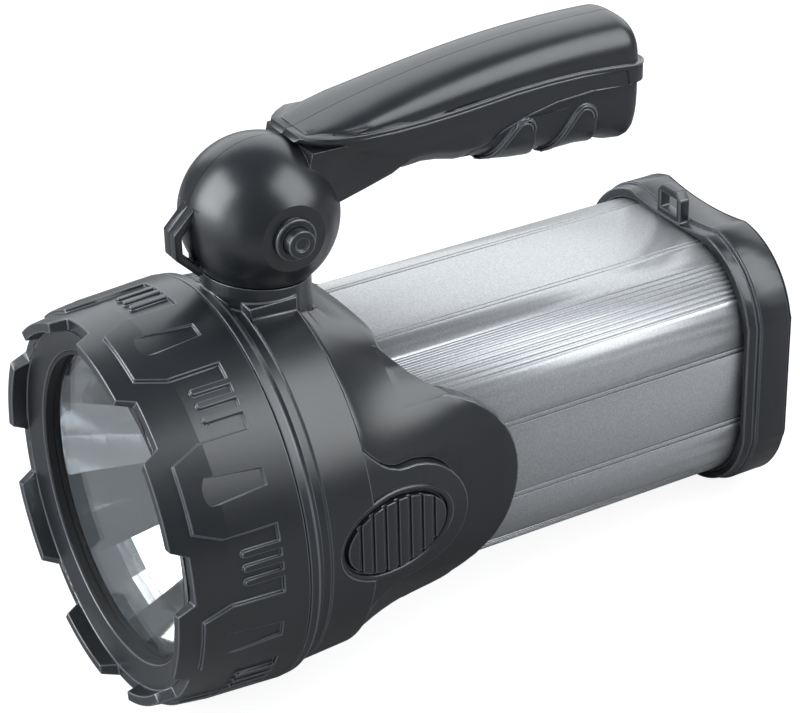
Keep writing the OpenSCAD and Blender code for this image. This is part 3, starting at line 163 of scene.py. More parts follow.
handled, h_in, h_out = new_group("Handled sheen", [("Scale", 60), ("Low", 0.3), ("High", 0.4)],
                                 [("Roughness", "NodeSocketFloat"), ("Mask", "NodeSocketFloat")])
slow = noise_at(handled, h_in.outputs["Scale"], 0, 4)
sheen = ranged(handled, slow.outputs["Fac"], h_in.outputs["Low"], h_in.outputs["High"])
handled.links.new(sheen, h_out.inputs["Roughness"])
handled.links.new(slow.outputs["Fac"], h_out.inputs["Mask"])
print("groups:", [g.name for g in bpy.data.node_groups])

# %% [markdown]
# ## Finishes
# One helper makes a Principled material from a colour, a grain and a sheen. Black satin plastic is nearly neutral,
# a little blue, and its grain is only a fraction of a millimetre. The metal body is blasted, so it is bright, rough
# and evenly speckled. Two near colours are mixed by a slow noise so that no surface is one flat colour.


# %% Material helper
def group_node(tree, group, **values):
    """A node of a shared group with its inputs set."""
    node = tree.nodes.new("ShaderNodeGroup")
    node.node_tree = group
    for label, value in values.items():
        node.inputs[label].default_value = value
    return node


def finish(name, dark, light, low, high, grain_scale=2500, bump=0.1, depth=0.0001, tint_scale=25,
           metallic=0.0, **sockets):
    """A material whose colour runs between two near colours and whose roughness runs from low to high."""
    material = bpy.data.materials.new(name)
    material.use_nodes = True
    tree = material.node_tree
    shader = tree.nodes["Principled BSDF"]
    tint = noise_at(tree, None, tint_scale, 3)
    ramp = tree.nodes.new("ShaderNodeValToRGB")
    ramp.color_ramp.elements[0].position = 0.35
    ramp.color_ramp.elements[1].position = 0.65
    ramp.color_ramp.elements[0].color = (*dark, 1)
    ramp.color_ramp.elements[1].color = (*light, 1)
    tree.links.new(tint.outputs["Fac"], ramp.inputs["Fac"])
    tree.links.new(ramp.outputs["Color"], shader.inputs["Base Color"])
    sheen = group_node(tree, handled, Scale=tint_scale * 2, Low=low, High=high)
    tree.links.new(sheen.outputs["Roughness"], shader.inputs["Roughness"])
    if bump:
        height = group_node(tree, grain, Scale=grain_scale, Contrast=1.0)
        bumps = tree.nodes.new("ShaderNodeBump")
        bumps.inputs["Strength"].default_value = bump
        bumps.inputs["Distance"].default_value = depth
        tree.links.new(height.outputs["Height"], bumps.inputs["Height"])
        tree.links.new(bumps.outputs["Normal"], shader.inputs["Normal"])
    shader.inputs["Metallic"].default_value = metallic
    for label, value in sockets.items():
        shader.inputs[label.replace("_", " ")].default_value = value
    return material


# %% Materials of the visible surfaces
black_satin = finish("black_satin", (0.012, 0.014, 0.017), (0.016, 0.018, 0.022), 0.27, 0.35,
                     grain_scale=2200, bump=0.2, depth=0.00008, Specular_IOR_Level=1.0)
grip_rubber = finish("grip_rubber", (0.012, 0.014, 0.017), (0.016, 0.018, 0.022), 0.30, 0.38,
                     grain_scale=1900, bump=0.25, depth=0.0001, Specular_IOR_Level=0.9)
# Painted highlight: edge rounds and raised lines get a grey much lighter than the black plastic, standing in for the
# light along them; they are also smoother.
edge_highlight_paint = finish("edge_highlight_paint", (0.10, 0.108, 0.12), (0.14, 0.15, 0.165), 0.16, 0.24, bump=0,
                     Specular_IOR_Level=1.0)
seal_rubber = finish("seal_rubber", (0.018, 0.018, 0.020), (0.026, 0.026, 0.028), 0.55, 0.7,
                     grain_scale=1500, bump=0.3)
blasted_metal = finish("blasted_metal", (0.50, 0.505, 0.52), (0.64, 0.645, 0.66), 0.33, 0.40,
                       grain_scale=2600, bump=0.25, depth=0.00005, tint_scale=1900, metallic=0.62)
plain_metal = finish("plain_metal", (0.60, 0.60, 0.61), (0.68, 0.68, 0.69), 0.28, 0.4, bump=0.15, metallic=1.0)
screw_steel = finish("screw_steel", (0.42, 0.42, 0.44), (0.52, 0.52, 0.54), 0.22, 0.34, bump=0.1, metallic=1.0)
board_green = finish("board_green", (0.015, 0.10, 0.04), (0.02, 0.15, 0.06), 0.3, 0.42, tint_scale=220, bump=0.1)
chip_yellow = finish("chip_yellow", (0.72, 0.58, 0.16), (0.85, 0.72, 0.25), 0.2, 0.3, tint_scale=300, bump=0.05)
switch_black = finish("switch_black", (0.045, 0.045, 0.048), (0.065, 0.065, 0.07), 0.4, 0.5)
case_black = finish("case_black", (0.035, 0.038, 0.045), (0.05, 0.054, 0.062), 0.4, 0.55, bump=0.2)
lid_grey = finish("lid_grey", (0.27, 0.26, 0.23), (0.34, 0.33, 0.30), 0.45, 0.55)
tinned_brass = finish("tinned_brass", (0.62, 0.56, 0.40), (0.74, 0.69, 0.52), 0.25, 0.35, metallic=1.0)
inner_black = finish("inner_black", (0.03, 0.03, 0.033), (0.045, 0.045, 0.05), 0.45, 0.55)
sleeve_blue = finish("sleeve_blue", (0.04, 0.06, 0.14), (0.06, 0.09, 0.2), 0.25, 0.35)
wire_red = finish("wire_red", (0.42, 0.03, 0.02), (0.55, 0.05, 0.03), 0.3, 0.4)
lamp_red = finish("lamp_red", (0.40, 0.02, 0.015), (0.55, 0.035, 0.02), 0.12, 0.2, bump=0.0)
print("materials:", len(bpy.data.materials))

# %% [markdown]
# ## Clear lens and mirror bowl
# The lens is a real disc of glass. Shadow rays pass through it, so the bowl behind it is lit by the lamps as well
# as by what it reflects. The bowl is a bright smooth coating; its flutes are modelled further down.

# %% Lens glass and mirror coating
lens_glass = bpy.data.materials.new("lens_glass")
lens_glass.use_nodes = True
tree = lens_glass.node_tree
glass = tree.nodes["Principled BSDF"]
glass.inputs["Base Color"].default_value = (0.97, 0.985, 0.99, 1)
glass.inputs["Roughness"].default_value = 0.01
glass.inputs["IOR"].default_value = 1.45
glass.inputs["Transmission Weight"].default_value = 1
path = tree.nodes.new("ShaderNodeLightPath")
clear = tree.nodes.new("ShaderNodeBsdfTransparent")
clear.inputs["Color"].default_value = (0.94, 0.96, 0.96, 1)
mix = tree.nodes.new("ShaderNodeMixShader")
tree.links.new(path.outputs["Is Shadow Ray"], mix.inputs["Fac"])
tree.links.new(glass.outputs["BSDF"], mix.inputs[1])
tree.links.new(clear.outputs["BSDF"], mix.inputs[2])
tree.links.new(mix.outputs["Shader"], tree.nodes["Material Output"].inputs["Surface"])

mirror_coat = finish("mirror_coat", (0.66, 0.68, 0.70), (0.74, 0.76, 0.78), 0.05, 0.09, bump=0, metallic=1.0)
print("clear and mirror finishes made")

# %% [markdown]
# ## Finishes on the frame's own nodes
# Most pieces already have their shape in the frame, so they only need their finish.

# %% Give each node its finish
FINISHES = {
    black_satin: "bezel_ring head_shell shoulder_housing power_button rear_cap handle_half_left handle_half_right "
                 "hub_cap lock_button button_collar",
    grip_rubber: "finger_grip socket_cover",
    seal_rubber: "lens_gasket cap_gasket",
    lens_glass: "lens",
    mirror_coat: "reflector",
    blasted_metal: "body_tube",
    plain_metal: "heat_sink",
    screw_steel: "led_screws heat_sink_screws shoulder_screws cap_screws handle_screws swivel_post swivel_washer "
                 "swivel_nut pivot_shaft lock_spring",
    board_green: "led_board switch_board driver_board",
    chip_yellow: "led_emitter",
    switch_black: "switch_plunger switch_body",
    case_black: "battery_case",
    lid_grey: "battery_lid",
    tinned_brass: "battery_terminals",
    inner_black: "front_bracket rear_bracket charge_socket",
    sleeve_blue: "board_parts",
    wire_red: "battery_leads",
    lamp_red: "charge_lamp",
}
for material, names in FINISHES.items():
    for name in names.split():
        mesh = nodes[name].data
        mesh.materials.clear()
        mesh.materials.append(material)
print("finished nodes:", sum(len(names.split()) for names in FINISHES.values()), "of", len(nodes))

# %% [markdown]
# ## Moulded edges
# No moulded or cut edge is perfectly sharp: each has a small round that catches the light as a thin bright line.
# The frame's meshes are loose triangles, so a copy is merged, its flat areas are joined, and a bevel rounds every
# edge that turns by more than a set angle. The copy then stands for the frame's own piece. The rounds of black
# pieces get a smoother finish in a lighter grey, which is a painted highlight; the handle halves keep one finish,
# because their seams are dark.

# %% Helper for rounded copies
body_of = {node: body for body, members in frame["record"]["behaviour"]["bodies"].items() for node in members}


def adopt(piece, *stands_for):
    """Makes a new piece ride with, and stand for, the nodes it replaces."""
    if piece.name not in bpy.context.scene.collection.objects:
        bpy.context.scene.collection.objects.link(piece)
    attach(piece, body_of[stands_for[0]])
    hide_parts(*stands_for)
    return piece


def rounded(node, name, millimetres, segments=2, sharpest=30, merge=0.004, reshape=None):
    """A copy of a node with merged corners and rounded edges, its corners moved by reshape if that is given."""
    bm = bmesh.new()
    bm.from_mesh(nodes[node].data)
    bmesh.ops.remove_doubles(bm, verts=bm.verts, dist=merge * 0.001)
    if reshape:
        for vert in bm.verts:
            vert.co += reshape(vert.co) * 0.001
    bmesh.ops.dissolve_limit(bm, angle_limit=math.radians(0.8), verts=bm.verts, edges=bm.edges)
    for face in bm.faces:
        face.smooth = True
    mesh = bpy.data.meshes.new(name)
    bm.to_mesh(mesh)
    bm.free()
    mesh.materials.append(nodes[node].data.materials[0])
    # Black moulded pieces other than the handle halves get the painted highlight colour on their bevel rounds.
    gets_edge_highlight = nodes[node].data.materials[0] in (black_satin, grip_rubber) and not node.startswith("handle_half")
    mesh.materials.append(edge_highlight_paint if gets_edge_highlight else nodes[node].data.materials[0])
    piece = bpy.data.objects.new(name, mesh)
    adopt(piece, node)
    if millimetres:
        bevel = piece.modifiers.new("edge round", "BEVEL")
        bevel.width = millimetres * 0.001
        bevel.segments = segments
        bevel.limit_method = "ANGLE"
        bevel.angle_limit = math.radians(sharpest)
        bevel.use_clamp_overlap = False
        bevel.harden_normals = True
        bevel.miter_outer = "MITER_SHARP" if node == "rear_cap" else "MITER_ARC"
        bevel.material = 1
    print(name, "from", node, "faces", len(mesh.polygons))
    return piece


# %% Helper for reading tables
def looked_up(table, key):
    """Straight-line reading of a table of pairs."""
    for (k0, v0), (k1, v1) in zip(table, table[1:]):
        if key <= k1:
            return v0 + (v1 - v0) * max(0.0, key - k0) / (k1 - k0)
    return table[-1][1]


# %% Helper for pieces turned round the beam axis
def turned(node, name, millimetres, segments=3, sharpest=20, merge=0.02):
    """A bevelled copy whose round walls are shaded as true surfaces of revolution about the beam axis."""
    bm = bmesh.new()
    bm.from_mesh(nodes[node].data)
    bmesh.ops.remove_doubles(bm, verts=bm.verts, dist=merge * 0.001)
    bmesh.ops.dissolve_limit(bm, angle_limit=math.radians(0.8), verts=bm.verts, edges=bm.edges)
    sharp = [e for e in bm.edges if len(e.link_faces) == 2 and e.calc_face_angle(0) > math.radians(sharpest)]
    bmesh.ops.bevel(bm, geom=sharp, offset=millimetres * 0.001, offset_type="OFFSET", segments=segments, profile=0.5,
                    affect="EDGES", clamp_overlap=False, material=1, loop_slide=True)
    bmesh.ops.triangulate(bm, faces=[f for f in bm.faces if len(f.verts) > 4])
    for face in bm.faces:
        face.smooth = True
    mesh = bpy.data.meshes.new(name)
    bm.to_mesh(mesh)
    bm.free()
    mesh.materials.append(nodes[node].data.materials[0])
    # The bevel rounds take the painted highlight colour.
    mesh.materials.append(edge_highlight_paint)
    axis_z = AXIS_HEIGHT * 0.001
    normals = [Vector(n.vector) for n in mesh.corner_normals]
    for face in mesh.polygons:
        if face.material_index:
            continue
        spoke = Vector((face.center.x, 0, face.center.z - axis_z)).normalized()
        outward, along = face.normal.dot(spoke), face.normal.y
        across = face.normal.dot(Vector((-spoke.z, 0, spoke.x)))
        for corner in face.loop_indices:
            if abs(across) < 0.14 and abs(outward) > 0.1:
                co = mesh.vertices[mesh.loops[corner].vertex_index].co
                normals[corner] = Vector((co.x, 0, co.z - axis_z)).normalized() * outward + Vector((0, along, 0))
            elif face.area > 1.5e-6:
                normals[corner] = face.normal.copy()
    mesh.normals_split_custom_set([n.normalized() for n in normals])
    print(name, "from", node, "faces", len(mesh.polygons))
    return adopt(bpy.data.objects.new(name, mesh), node)


turned("bezel_ring", "bezel", 0.35, sharpest=13)
turned("head_shell", "head", 0.45)
rounded("shoulder_housing", "shoulder", 0.5, 3, sharpest=24)

# %% [markdown]
# ## Webs beside the ears
# The shoulder has two ears that reach back along the sides of the metal body. Between each ear and the round skirt
# the photograph shows one smooth sweep on the side that is seen. A thin curved plate gives it: its surface runs on
# from the skirt and blends into the ear, and its free edge follows the sweep.

# %% Web between the shoulder's skirt and its ears
shoulder_walls = BVHTree.FromPolygons([v.co.copy() for v in nodes["shoulder_housing"].data.vertices],
                                      [tuple(p.vertices) for p in nodes["shoulder_housing"].data.polygons])
EAR_SWEEP = [(34, 98.2), (38, 94.0), (42.3, 89.7), (46.5, 86.3), (52.0, 83.4), (58.4, 80.8), (62, 80.0)]
SKIRT_EDGE, WEB_START, WEB_FROM, WEB_TO = 81.2, 78, 34, 61.5
EAR_START, EAR_REACH, EAR_HALF, EAR_R = 82, 35.5, 32.5, 48
WEB_PROUD, WEB_SUNK, WEB_SLOPE, WEB_THICK = 0.34, 0.22, 0.14, 0.006


def wall_radius(y, degrees):
    """Distance of the shoulder's outer wall from the beam axis at y, in one direction round the axis."""
    way = Vector((math.cos(math.radians(degrees)), 0, math.sin(math.radians(degrees))))
    hit = shoulder_walls.ray_cast(place(0, y, 0) + way * 0.09, -way)[0]
    return (hit - place(0, y, 0)).length * 1000


def web_radius(y, degrees):
    """The skirt's surface carried on past its edge and blended into the ear's."""
    past = max(0.0, y - SKIRT_EDGE)
    skirt = wall_radius(min(y, SKIRT_EDGE), degrees) - WEB_SLOPE * past
    ear_half = EAR_HALF * math.sqrt(1 - (max(0.0, y - EAR_START) / EAR_REACH) ** 2)
    ear_top = math.degrees(math.asin(ear_half / EAR_R)) - 4
    ear = wall_radius(y, min(degrees, ear_top))
    share = min(1.0, max(0.0, (degrees - ear_top) / 11))
    blend = ear + (skirt - ear) * share * share * (3 - 2 * share) if past else skirt
    rim = min((y - WEB_START) / 2.4, (degrees - WEB_FROM) / 3, (WEB_TO - degrees) / 3, 1)
    return blend + WEB_PROUD * max(0.0, rim) - WEB_SUNK


def ear_web(side, level):
    """A curved plate from under the skirt out to the photographed edge, its free edge given a small round."""
    bm = bmesh.new()
    bmesh.ops.create_grid(bm, x_segments=28, y_segments=16, size=1)
    for vert in bm.verts:
        degrees = (WEB_FROM + WEB_TO) / 2 + (WEB_TO - WEB_FROM) / 2 * vert.co.x
        ends = looked_up(EAR_SWEEP, degrees)
        y = WEB_START + (ends - WEB_START) * (vert.co.y + 1) / 2
        reach, turn = web_radius(y, degrees), math.radians(degrees)
        vert.co = place(side * reach * math.cos(turn), y, level * reach * math.sin(turn))
    rim = [e for e in bm.edges if e.is_boundary]
    lip = bmesh.ops.extrude_edge_only(bm, edges=rim)["geom"]
    for vert in (g for g in lip if isinstance(g, bmesh.types.BMVert)):
        vert.co -= Vector((vert.co.x, 0, vert.co.z - AXIS_HEIGHT * 0.001)).normalized() * WEB_THICK
    bmesh.ops.recalc_face_normals(bm, faces=bm.faces)
    for face in bm.faces:
        face.smooth = True
    name = "ear_web_%s_%s" % ("right" if side > 0 else "left", "upper" if level > 0 else "lower")
    mesh = bpy.data.meshes.new(name)
    bm.to_mesh(mesh)
    bm.free()
    mesh.materials.append(black_satin)
    # The web's rounded edge takes the painted highlight colour.
    mesh.materials.append(edge_highlight_paint)
    piece = adopt(bpy.data.objects.new(name, mesh), "shoulder_housing")
    bevel = piece.modifiers.new("edge round", "BEVEL")
    bevel.width, bevel.segments, bevel.limit_method = 0.0004, 3, "ANGLE"
    bevel.harden_normals, bevel.material = True, 1
    print(name, "faces", len(mesh.polygons))


for side in (1, -1):
    for level in (1, -1):
        ear_web(side, level)

# %% [markdown]
# ## Rear cap
# The frame's cap has a shallow hollow in each of its four sides. In the photograph the upright sides are straight,
# so the corners of the copy there are moved out by the depth of the hollow at their height. The corners of the rear
# face are moved in by a set distance. Some rounded edges still reach past the rear of the frame's box: by up to
# 0.32 mm at the upper corners of the inlet's recess and by 0.05 mm along the straightened sides.

# %% Sides of the rear cap
DISH_SINK, DISH_R = 2.2, 108
DISH_HALF = math.sqrt(DISH_R ** 2 - (DISH_R - DISH_SINK) ** 2)
SIDE_START = 36
REAR_SINK = 0.16


def straight_sides(co):
    """The move, in millimetres, that straightens the cap's upright sides and sets its rear face in."""
    x, z = co.x * 1000, (co.z - AXIS_HEIGHT * 0.001) * 1000
    sink = -REAR_SINK if co.y > cad_box[1][1] - 1e-5 else 0.0
    if abs(x) < SIDE_START or abs(z) > DISH_HALF:
        return Vector((0, sink, 0))
    hollow = DISH_SINK - (DISH_R - math.sqrt(DISH_R ** 2 - z * z))
    return Vector(((1 if x > 0 else -1) * hollow, sink, 0))


rounded("rear_cap", "cap", 0.5, 3, sharpest=24, reshape=straight_sides)

# %% Rounded copies of the other moulded pieces
ROUNDED = [
    ("power_button", "button", 0.3, 2), ("lock_button", "lock", 0.35, 3),
    ("button_collar", "collar", 0.5, 3), ("handle_half_left", "shell_left", 0.25, 2),
    ("handle_half_right", "shell_right", 0.25, 2), ("finger_grip", "finger_pad", 0.4, 2),
    ("body_tube", "body", 0.06, 1), ("hub_cap", "hub_disc", 0.3, 2), ("socket_cover", "flap", 0.3, 2),
]
for node, name, width, steps in ROUNDED:
    rounded(node, name, width, steps)

# %% [markdown]
# ## Fluted mirror bowl
# The bowl behind the lens is not a smooth dish: flat flutes run from its rim to its throat, and each one shows its
# own patch of light or dark. The inner outline is read off the frame's bowl with rays from the beam axis. A spin with
# few steps then turns it into flutes, flat across and curved along, that lie just inside the smooth dish.

# %% Flutes of the bowl
FLUTES, SAMPLES, INSET = 22, 60, 0.997
bowl_walls = BVHTree.FromPolygons([v.co.copy() for v in nodes["reflector"].data.vertices],
                                  [tuple(p.vertices) for p in nodes["reflector"].data.polygons])
bowl_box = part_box("reflector")
outline = []
for i in range(SAMPLES):
    y = bowl_box[0][1] + (bowl_box[1][1] - bowl_box[0][1]) * (i + 0.5) / SAMPLES
    hit = bowl_walls.ray_cast(Vector((0, y, AXIS_HEIGHT * 0.001)), Vector((0.6, 0, -0.8)))[0]
    if hit is not None:
        outline.append((y, math.hypot(hit.x, hit.z - AXIS_HEIGHT * 0.001)))
print("bowl outline from radius", round(outline[0][1] * 1000, 1), "to", round(outline[-1][1] * 1000, 1), "mm,",
      len(outline), "points")
outline = [p for i, p in enumerate(outline) if i == 0 or p[1] < outline[i - 1][1] - 1e-5][::3]
bm = bmesh.new()
spine = [bm.verts.new((r * INSET, y, AXIS_HEIGHT * 0.001)) for y, r in outline]
edges = [bm.edges.new(pair) for pair in zip(spine, spine[1:])]
bmesh.ops.spin(bm, geom=spine + edges, cent=(0, 0, AXIS_HEIGHT * 0.001), axis=(0, 1, 0), angle=2 * math.pi,
               steps=FLUTES, use_merge=True)
bmesh.ops.remove_doubles(bm, verts=bm.verts, dist=1e-6)
bmesh.ops.recalc_face_normals(bm, faces=bm.faces)
inward = sum(f.normal.dot(Vector((f.calc_center_median().x, 0, f.calc_center_median().z - AXIS_HEIGHT * 0.001)))
             for f in bm.faces)
if inward > 0:
    bmesh.ops.reverse_faces(bm, faces=bm.faces)
for face in bm.faces:
    face.smooth = False
mesh = bpy.data.meshes.new("bowl_flutes")
bm.to_mesh(mesh)
bm.free()
mesh.materials.append(mirror_coat)
adopt(bpy.data.objects.new("bowl_flutes", mesh), "reflector")
back_shell = nodes["reflector"].data.copy()
adopt(bpy.data.objects.new("bowl_back", back_shell), "reflector")
print("bowl flutes", len(mesh.polygons), "faces")

# %% [markdown]
# ## Raised lines on the handle
# The moulds leave slim raised lines: two run along the lip where the back of the handle meets its sides, one follows
# the edge of the finger side, and a double one stands on the front of each of the two raised arches. The upper lip
# line goes right round the rear end, and the lower one stops where the lip widens to a band. Each is a thin tube
# half sunk into the surface. The lip lines follow the lip's own curve; the paths of the others are dropped onto the
# frame's surface with rays. A small circle is placed at every point and neighbouring circles are bridged.

# %% Helpers for raised lines
BALL_Y, BALL_HEIGHT, BALL_R, GRIP_LENGTH = 59.2, 80.5, 22.9, 123.5


def grip_point(share, rise_share):
    """Place along the handle and height over the beam axis from shares of the grip and of the ball."""
    return BALL_Y + share * GRIP_LENGTH, BALL_HEIGHT + rise_share * BALL_R


def surface_of(*names):
    """One search tree over the faces of several nodes."""
    bm = bmesh.new()
    for name in names:
        bm.from_mesh(nodes[name].data)
    tree = BVHTree.FromBMesh(bm)
    bm.free()
    return tree


def dropped(tree, y, z, side=1):
    """The lamp place where a level ray from the given side meets the surface at y and z, or None."""
    hit = tree.ray_cast(place(side * 90, y, z), Vector((-side, 0, 0)))[0]
    return None if hit is None else Vector((hit.x * 1000, y, z))


def raised_line(name, path, radius, *stands_for, closed=False):
    """A slim tube along a path of lamp places; the radius may be a number or one number for each point."""
    path = [Vector(p) for p in path if p is not None]
    radii = radius if isinstance(radius, list) else [radius] * len(path)
    bm = bmesh.new()
    rings = []
    for i, point in enumerate(path):
        before = path[i - 1] if i or closed else point
        after = path[(i + 1) % len(path)] if closed or i + 1 < len(path) else point
        facing = (after - before).to_track_quat("Z", "X").to_matrix().to_4x4()
        made = bmesh.ops.create_circle(bm, segments=8, radius=radii[i] * 0.001,
                                       matrix=Matrix.Translation(place(*point)) @ facing)
        rings.append(list({edge for vert in made["verts"] for edge in vert.link_edges}))
    pairs = list(zip(rings, rings[1:])) + ([(rings[-1], rings[0])] if closed else [])
    for one, other in pairs:
        bmesh.ops.bridge_loops(bm, edges=one + other)
    if not closed:
        for ring in (rings[0], rings[-1]):
            bmesh.ops.contextual_create(bm, geom=ring)
    bmesh.ops.recalc_face_normals(bm, faces=bm.faces)
    for face in bm.faces:
        face.smooth = True
    mesh = bpy.data.meshes.new(name)
    bm.to_mesh(mesh)
    bm.free()
    # The raised lines are coloured with the painted highlight grey.
    mesh.materials.append(edge_highlight_paint)
    print(name, "points", len(path), "faces", len(mesh.polygons))
    return adopt(bpy.data.objects.new(name, mesh), *stands_for)


# %% Lip lines round the back of the handle
LIP_SHARES = [(0.06, 1.009), (0.145, 1.013), (0.217, 0.978), (0.298, 0.961), (0.38, 0.965), (0.46, 0.983),
              (0.54, 1.013), (0.62, 1.048), (0.71, 1.061), (0.81, 1.052), (0.89, 1.017), (0.962, 0.974), (1.05, 0.93)]
LIP_HALF, LIP_CORNER, LIP_END = 15.0, 6.5, 182.7
LIP_START, LIP_STEPS, BAND_START = 82, 44, 170.5
LIP_SUNK, LIP_LINE_R = 0.12, 0.36


def lip_height(y):
    """Height of the lip over the beam axis at y."""
    return BALL_HEIGHT + BALL_R * looked_up(LIP_SHARES, (y - BALL_Y) / GRIP_LENGTH)


def lip_loop(under):
    """Places round the lip from one side of the nose, round the rear end and back to the other side."""
    straight = LIP_END - LIP_CORNER - LIP_START
    plan = [(LIP_HALF, LIP_START + straight * i / LIP_STEPS) for i in range(LIP_STEPS + 1)]
    plan += [(LIP_HALF - LIP_CORNER + LIP_CORNER * math.cos(t), LIP_END - LIP_CORNER + LIP_CORNER * math.sin(t))
             for t in (math.radians(15 * i) for i in range(1, 7))]
    half = [(x - LIP_SUNK, min(y, LIP_END - LIP_SUNK), lip_height(y) - under) for x, y in plan]
    return half + [(-x, y, z) for x, y, z in reversed(half)]


upper, lower = lip_loop(0.25), lip_loop(1.35)
lines = (("lip_line_upper", upper, ("handle_half_right", "handle_half_left")),
         ("lip_line_lower_right", [p for p in lower if p[0] > 0 and p[1] < BAND_START], ("handle_half_right",)),
         ("lip_line_lower_left", [p for p in lower if p[0] < 0 and p[1] < BAND_START], ("handle_half_left",)))
for name, path, owners in lines:
    swell = [LIP_LINE_R * min(1.0, 0.25 + 0.12 * min(i, len(path) - 1 - i)) for i in range(len(path))]
    raised_line(name, path, swell, *owners)

# %% [markdown]
# ## Smooth ball and back of the handle
# The ball and the long rounded back catch the broadest highlights, so they need finer curves than the frame has. A
# skin a few hundredths of a millimetre outside the frame's surface gives them: a fine sphere with its flat hub faces
# sliced off for the ball, and a fine grid bent over the handle's cross-sections for the back. Both keep the dark slit
# of the mould line between the two halves, and the slot in which the post stands is cut out of the ball's skin.

# %% Skin of the ball
SKIN, SLIT, HUB_X, NECK_TOP = 0.04, 0.1, 20.72, 60.4
SLOT_HALF, SLOT_TURNS = 9.6, (-120, -51)
for side, label, owner in ((1, "right", "handle_half_right"), (-1, "left", "handle_half_left")):
    bm = bmesh.new()
    bmesh.ops.create_uvsphere(bm, u_segments=96, v_segments=64, radius=(BALL_R + SKIN) * 0.001)
    middle = place(0, BALL_Y, BALL_HEIGHT)
    bmesh.ops.translate(bm, verts=bm.verts, vec=middle)
    cuts = ((Vector((side * SLIT * 0.001, 0, 0)), (-side, 0, 0)), (Vector((side * HUB_X * 0.001, 0, 0)), (side, 0, 0)),
            (place(0, BALL_Y, NECK_TOP), (0, 0, -1)))
    for spot, way in cuts:
        bmesh.ops.bisect_plane(bm, geom=bm.verts[:] + bm.edges[:] + bm.faces[:], plane_co=spot, plane_no=way,
                               clear_outer=True)
    slot = []
    for face in bm.faces:
        spot = face.calc_center_median() - middle
        turn = math.degrees(math.atan2(spot.z, spot.y))
        if abs(spot.x) * 1000 < SLOT_HALF and SLOT_TURNS[0] < turn < SLOT_TURNS[1]:
            slot.append(face)
    bmesh.ops.delete(bm, geom=slot, context="FACES")
    rim = [e for e in bm.edges if e.is_boundary and all(abs(v.co.x * 1000 - side * HUB_X) < 0.01 for v in e.verts)]
    for face in bm.faces:
        face.smooth = True
    flat = bmesh.ops.extrude_edge_only(bm, edges=rim)["geom"]
    ring = [g for g in flat if isinstance(g, bmesh.types.BMVert)]
    bmesh.ops.scale(bm, verts=ring, vec=(1, 0.6, 0.6), space=Matrix.Translation(-middle))
    for edge in rim:
        edge.smooth = False
    mesh = bpy.data.meshes.new("ball_" + label)
    bm.to_mesh(mesh)
    bm.free()
    mesh.materials.append(black_satin)
    adopt(bpy.data.objects.new("ball_" + label, mesh), owner)
    print(mesh.name, "faces", len(mesh.polygons))

# %% Skin of the handle's back
DOME_SHARES = [(0.096, 0.5), (0.112, 0.547), (0.136, 0.707), (0.172, 0.84), (0.233, 0.947), (0.33, 0.96),
               (1.05, 0.96)]
SHELL_START, SHELL_END, END_ROUND, GRIP_HALF = 0.096, 180.8, 6.0, 15.0
BACK_TOP, BACK_FALL, BACK_TOP_SHARE = 1.537, 0.668, 0.84
BEND_SHARE, FOOT_SHARE, FOOT_DROP = 0.88, 0.04, 0.8
SIDE_POWER, RISE_POWER = 0.7, 0.77


def back_height(y):
    """Height of the middle line of the back over the beam axis at y."""
    from_top = ((y - BALL_Y) / GRIP_LENGTH - BACK_TOP_SHARE) / BACK_TOP_SHARE
    return BALL_HEIGHT + BALL_R * (BACK_TOP - BACK_FALL * from_top ** 2)


def back_place(along, around):
    """A place on the back: along runs 0..1 from nose to end, around 0..1 from the lip to the middle."""
    y0 = BALL_Y + SHELL_START * GRIP_LENGTH
    bend = SHELL_END - END_ROUND
    if along < BEND_SHARE:
        y, cut = y0 + (bend - y0) * along / BEND_SHARE, 0.0
    else:
        turn = math.pi / 2 * (along - BEND_SHARE) / (1 - BEND_SHARE)
        y, cut = bend + END_ROUND * math.sin(turn), END_ROUND * (1 - math.cos(turn))
    half = GRIP_HALF * looked_up(DOME_SHARES, (y - BALL_Y) / GRIP_LENGTH) - cut + SKIN
    rise = max(0.1, back_height(y) - lip_height(y) - cut) + SKIN
    if around < FOOT_SHARE:
        return half, y, lip_height(y) - FOOT_DROP * (FOOT_SHARE - around) / FOOT_SHARE
    t = math.pi / 2 * (around - FOOT_SHARE) / (1 - FOOT_SHARE)
    return (max(SLIT, half * math.cos(t) ** SIDE_POWER), y + SKIN * min(1.0, cut),
            lip_height(y) + rise * math.sin(t) ** RISE_POWER)


for side, label, owner in ((1, "right", "handle_half_right"), (-1, "left", "handle_half_left")):
    bm = bmesh.new()
    bmesh.ops.create_grid(bm, x_segments=90, y_segments=44, size=1)
    for vert in bm.verts:
        x, y, z = back_place((vert.co.x + 1) / 2, (vert.co.y + 1) / 2)
        vert.co = place(side * x, y, z)
        vert.co.z = min(vert.co.z, cad_box[1][2])
    bmesh.ops.remove_doubles(bm, verts=bm.verts, dist=2e-6)
    bmesh.ops.recalc_face_normals(bm, faces=bm.faces)
    if sum(f.normal.z * f.calc_area() for f in bm.faces) < 0:
        bmesh.ops.reverse_faces(bm, faces=bm.faces)
    for face in bm.faces:
        face.smooth = True
    mesh = bpy.data.meshes.new("back_" + label)
    bm.to_mesh(mesh)
    bm.free()
    mesh.materials.append(black_satin)
    adopt(bpy.data.objects.new("back_" + label, mesh), owner)
    print(mesh.name, "faces", len(mesh.polygons))

# %% Finger side line and arches
CREASE_SHARES = [(0.488, 0.218), (0.504, 0.328), (0.54, 0.415), (0.589, 0.541), (0.65, 0.651), (0.735, 0.738),
                 (0.84, 0.764), (0.945, 0.721), (1.08, 0.677)]
ARCHES = [(0.533, 0.642, 0.674, 0.153, 0.624), (0.707, 0.808, 0.846, 0.044, 0.603)]
grip_side = surface_of("finger_grip", "handle_half_right", "handle_half_left")


